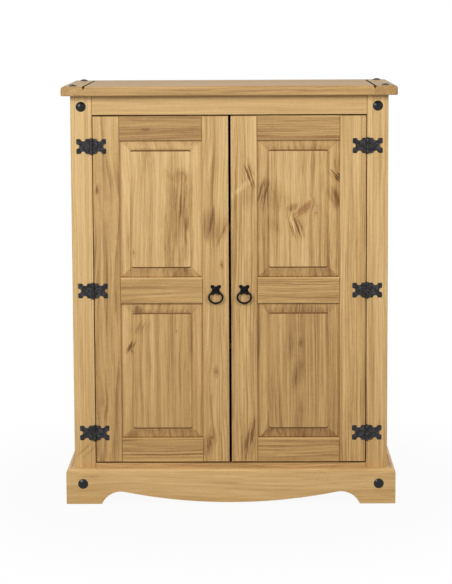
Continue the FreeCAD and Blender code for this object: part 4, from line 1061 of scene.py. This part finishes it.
class CUPBOARD_OT_screws(bpy.types.Operator):
    """Turn and slot the screws of the hinges, and set them at odd angles"""

    bl_idname = "cupboard.screws"
    bl_label = "Turn the hinge screws"

    def execute(self, context):
        screw = screw_master()
        draw = random.Random(SCREW_SEED)
        seat = POST_FRONT - LEAF_THICKNESS
        for node, body, outward, sides in SCREW_GROUPS:
            made = []
            for side in sides:
                pins_low, pins_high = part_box("hinge_pins_" + side)
                axis = (pins_low.x + pins_high.x) / 2
                for level in HINGES:
                    low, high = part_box("post_" + side + "_leaf_" + level)
                    for across, up in SCREW_PLACES:
                        out = SIDES[side] * outward * across
                        place = (axis + out, seat, (low.z + high.z) / 2 + up)
                        spin = draw.uniform(0.0, math.pi)
                        made.append(copied(screw, "screw", facing(FORWARD, place, spin)))
            group = joined("slotted_" + node, made)
            finish_piece(group, "stud_iron", body, "black_iron", node)
        bpy.data.objects.remove(screw)
        return {"FINISHED"}


class CUPBOARD_OT_studs(bpy.types.Operator):
    """Forge the eight domed studs"""

    bl_idname = "cupboard.studs"
    bl_label = "Forge the studs"

    def execute(self, context):
        iron = context.scene.cupboard_iron
        stud = turned("stud", STUD)
        dented(stud, STUD_DENT_SIZE * iron.dent_size, STUD_DENT_DEPTH * iron.dent_depth)
        bpy.ops.object.shade_smooth_by_angle(angle=math.radians(50))
        plinth_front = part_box("plinth_front")[0].y
        made = []
        for sign in SIDES.values():
            placings = [
                Matrix.Translation((sign * TOP_STUD_X, setback, CAD_HIGH.z - STUD.height))
                for setback in (-TOP_STUD_Y, TOP_STUD_Y)]
            placings.append(facing(FORWARD, (sign * POST_STUD_X, POST_FRONT, POST_STUD_Z), sign))
            placings.append(
                facing(FORWARD, (sign * PLINTH_STUD_X, plinth_front, PLINTH_STUD_Z), 2 * sign))
            made += [copied(stud, "stud", placing) for placing in placings]
        bpy.data.objects.remove(stud)
        group = joined("forged_studs", made)
        finish_piece(group, "stud_iron", "carcass", "black_iron", "iron_studs")
        return {"FINISHED"}


class CUPBOARD_OT_pulls(bpy.types.Operator):
    """Beat the plates and rings of the two pulls"""

    bl_idname = "cupboard.pulls"
    bl_label = "Beat the ring pulls"

    def execute(self, context):
        iron = context.scene.cupboard_iron
        for part, body, depth in (
                ("pull_plate_", "door_", PLATE_DENT_DEPTH),
                ("pull_ring_", "ring_", RING_DENT_DEPTH)):
            master = hammered(part + "left", "master_pull", PULL_CUT * iron.cut_size,
                              iron.dent_size, depth * iron.dent_depth)
            for side in SIDES:
                piece = copied(master, "beaten_" + part + side, mirror(side))
                finish_piece(piece, "pull_iron", body + side, "black_iron", part + side)
            bpy.data.objects.remove(master)
        return {"FINISHED"}


class CUPBOARD_OT_catches(bpy.types.Operator):
    """Add the steel pole plates and the fixing screws of the magnetic catches"""

    bl_idname = "cupboard.catches"
    bl_label = "Fit out the catches"

    def execute(self, context):
        screw = screw_master()
        for side in SIDES:
            low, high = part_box("magnetic_catch_" + side)
            middle = (low.x + high.x) / 2
            made = []
            for level in POLE_LEVELS:
                corner = Vector((
                    middle - POLE_SIZE.x / 2, low.y - POLE_PROUD, low.z + level - POLE_SIZE.z / 2))
                made.append(block("pole_plate", corner, corner + POLE_SIZE, POLE_EDGE))
            for across in (-CATCH_SCREW_X, CATCH_SCREW_X):
                place = (middle + across, low.y + CATCH_FLANGE, high.z - CATCH_SCREW_DROP)
                made.append(copied(screw, "screw", facing(BACKWARD, place)))
            group = joined("catch_steel_" + side, made)
            finish_piece(group, "plated_steel", "carcass", "zinc_steel")
        bpy.data.objects.remove(screw)
        return {"FINISHED"}


class CUPBOARD_OT_nails(bpy.types.Operator):
    """Drive round-head nails along the edges of the thin back board"""

    bl_idname = "cupboard.nails"
    bl_label = "Nail the back board"

    def execute(self, context):
        nail = turned("nail", NAIL)
        bpy.ops.object.shade_smooth_by_angle(angle=math.radians(50))
        low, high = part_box("back_panel")
        left, right = low.x + NAIL_INSET, high.x - NAIL_INSET
        bottom, top = low.z + NAIL_INSET, high.z - NAIL_INSET
        levels = even_steps(bottom, top, NAILS_UP)
        places = [(across, level) for across in (left, right) for level in levels]
        between = even_steps(left, right, NAILS_ACROSS)[1:-1]
        places += [(across, level) for across in between for level in (bottom, top)]
        made = [
            copied(nail, "nail", facing(BACKWARD, (across, high.y, level)))
            for across, level in places]
        bpy.data.objects.remove(nail)
        group = joined("back_board_nails", made)
        finish_piece(group, "plated_steel", "carcass", "zinc_steel")
        return {"FINISHED"}


class CUPBOARD_OT_stage(bpy.types.Operator):
    """Add the pale floor, the soft lamps, the white surroundings and the camera"""

    bl_idname = "cupboard.stage"
    bl_label = "Set the stage"

    def execute(self, context):
        stage = context.scene.cupboard_stage
        make_floor(stage)
        make_surroundings(stage)
        for side, power in (("left", stage.left_power), ("right", stage.right_power)):
            place = (SIDES[side] * stage.lamp_across, -stage.lamp_distance, stage.lamp_height)
            lamp = make_lamp(side + "_lamp", place, stage.lamp_size, power)
            # Only the left lamp makes a highlight on the studs
            lamp.visible_glossy = side == "left"
            behind = (SIDES[side] * stage.lamp_distance, stage.lamp_distance, stage.lamp_height)
            make_lamp("rear_" + side + "_lamp", behind, REAR_LAMP_SCALE * stage.lamp_size,
                      stage.rear_power)
        make_camera(stage)
        context.scene.view_settings.view_transform = "Standard"
        return {"FINISHED"}


def seen_directly(tree):
    """One where the camera, a reflection or a clear body looks, and zero for other light."""
    path = add(tree, "LightPath").outputs
    seen = maths(tree, "MAXIMUM", path["Is Camera Ray"], path["Is Glossy Ray"])
    return maths(tree, "MAXIMUM", seen, path["Is Transmission Ray"])


def make_floor(stage):
    """A wide pale floor that shows white, with a faint shadow."""
    bpy.ops.object.select_all(action="DESELECT")
    bpy.ops.mesh.primitive_plane_add(size=FLOOR_SIZE)
    floor = bpy.context.object
    floor.name = "floor"
    material, tree, coordinates = new_material("pale_floor")
    lit = add(tree, "BsdfDiffuse", PALE_GREY).outputs[0]
    white = add(tree, "Emission", WHITE, 1.0).outputs[0]
    reach = vectors(tree, "LENGTH", coordinates["Object"])
    share = fade(tree, reach, SHADOW_START, SHADOW_END, stage.floor_shadow, 0.0)
    shown = add(tree, "MixShader", share, white, lit).outputs[0]
    mix = add(tree, "MixShader", seen_directly(tree), lit, shown).outputs[0]
    add(tree, "OutputMaterial", mix)
    dress(floor, material)


def make_surroundings(stage):
    """Even light from all around, shown as white."""
    world = bpy.data.worlds.new("surroundings")
    world.use_nodes = True
    tree = world.node_tree
    tree.nodes.clear()
    even = add(tree, "Background", WHITE, stage.ambient).outputs[0]
    white = add(tree, "Background", WHITE, 1.0).outputs[0]
    mix = add(tree, "MixShader", seen_directly(tree), even, white).outputs[0]
    add(tree, "OutputWorld", mix)
    bpy.context.scene.world = world


def make_lamp(name, place, width, power):
    """A square soft lamp that points at the middle of the cupboard."""
    lamp = bpy.data.lights.new(name, "AREA")
    lamp.size = width
    lamp.energy = power
    thing = link(name, lamp)
    thing.location = place
    aim = (CAD_LOW + CAD_HIGH) / 2 - Vector(place)
    thing.rotation_euler = aim.to_track_quat("-Z", "Y").to_euler()
    return thing


def make_camera(stage):
    """The camera at the photograph's place."""
    data = bpy.data.cameras.new("camera")
    data.sensor_width = SENSOR_WIDTH
    data.lens = stage.focal_pixels * SENSOR_WIDTH / PHOTO_HEIGHT
    data.shift_y = stage.shift
    camera = link("camera", data)
    place = Vector((stage.camera_across, POST_FRONT - stage.camera_distance, stage.camera_height))
    turn = Matrix.Rotation(stage.turn, 4, "Z")
    tilt = Matrix.Rotation(math.pi / 2 - stage.tilt, 4, "X")
    roll = Matrix.Rotation(stage.roll, 4, "Z")
    camera.matrix_world = Matrix.Translation(place) @ turn @ tilt @ roll
    bpy.context.scene.camera = camera


class CUPBOARD_PT_panel(bpy.types.Panel):
    """The steps that finish the cupboard, in order"""

    bl_label = "Cupboard"
    bl_idname = "CUPBOARD_PT_panel"
    bl_space_type = "VIEW_3D"
    bl_region_type = "UI"
    bl_category = "Cupboard"

    def draw(self, context):
        for step in STEPS:
            self.layout.operator(step.bl_idname)


STEPS = (
    CUPBOARD_OT_boards, CUPBOARD_OT_metal, CUPBOARD_OT_hinges, CUPBOARD_OT_screws,
    CUPBOARD_OT_studs, CUPBOARD_OT_pulls, CUPBOARD_OT_catches, CUPBOARD_OT_nails,
    CUPBOARD_OT_stage)
PROPERTIES = {
    "cupboard_pine": PineProperties,
    "cupboard_iron": IronProperties,
    "cupboard_stage": StageProperties,
}


def register():
    for name, group in PROPERTIES.items():
        bpy.utils.register_class(group)
        setattr(bpy.types.Scene, name, bpy.props.PointerProperty(type=group))
    for step in STEPS:
        bpy.utils.register_class(step)
    bpy.utils.register_class(CUPBOARD_PT_panel)


def unregister():
    bpy.utils.unregister_class(CUPBOARD_PT_panel)
    for step in reversed(STEPS):
        bpy.utils.unregister_class(step)
    for name, group in PROPERTIES.items():
        delattr(bpy.types.Scene, name)
        bpy.utils.unregister_class(group)


def main():
    register()
    for step in STEPS:
        area, name = step.bl_idname.split(".")
        getattr(getattr(bpy.ops, area), name)()


if __name__ == "__main__":
    main()
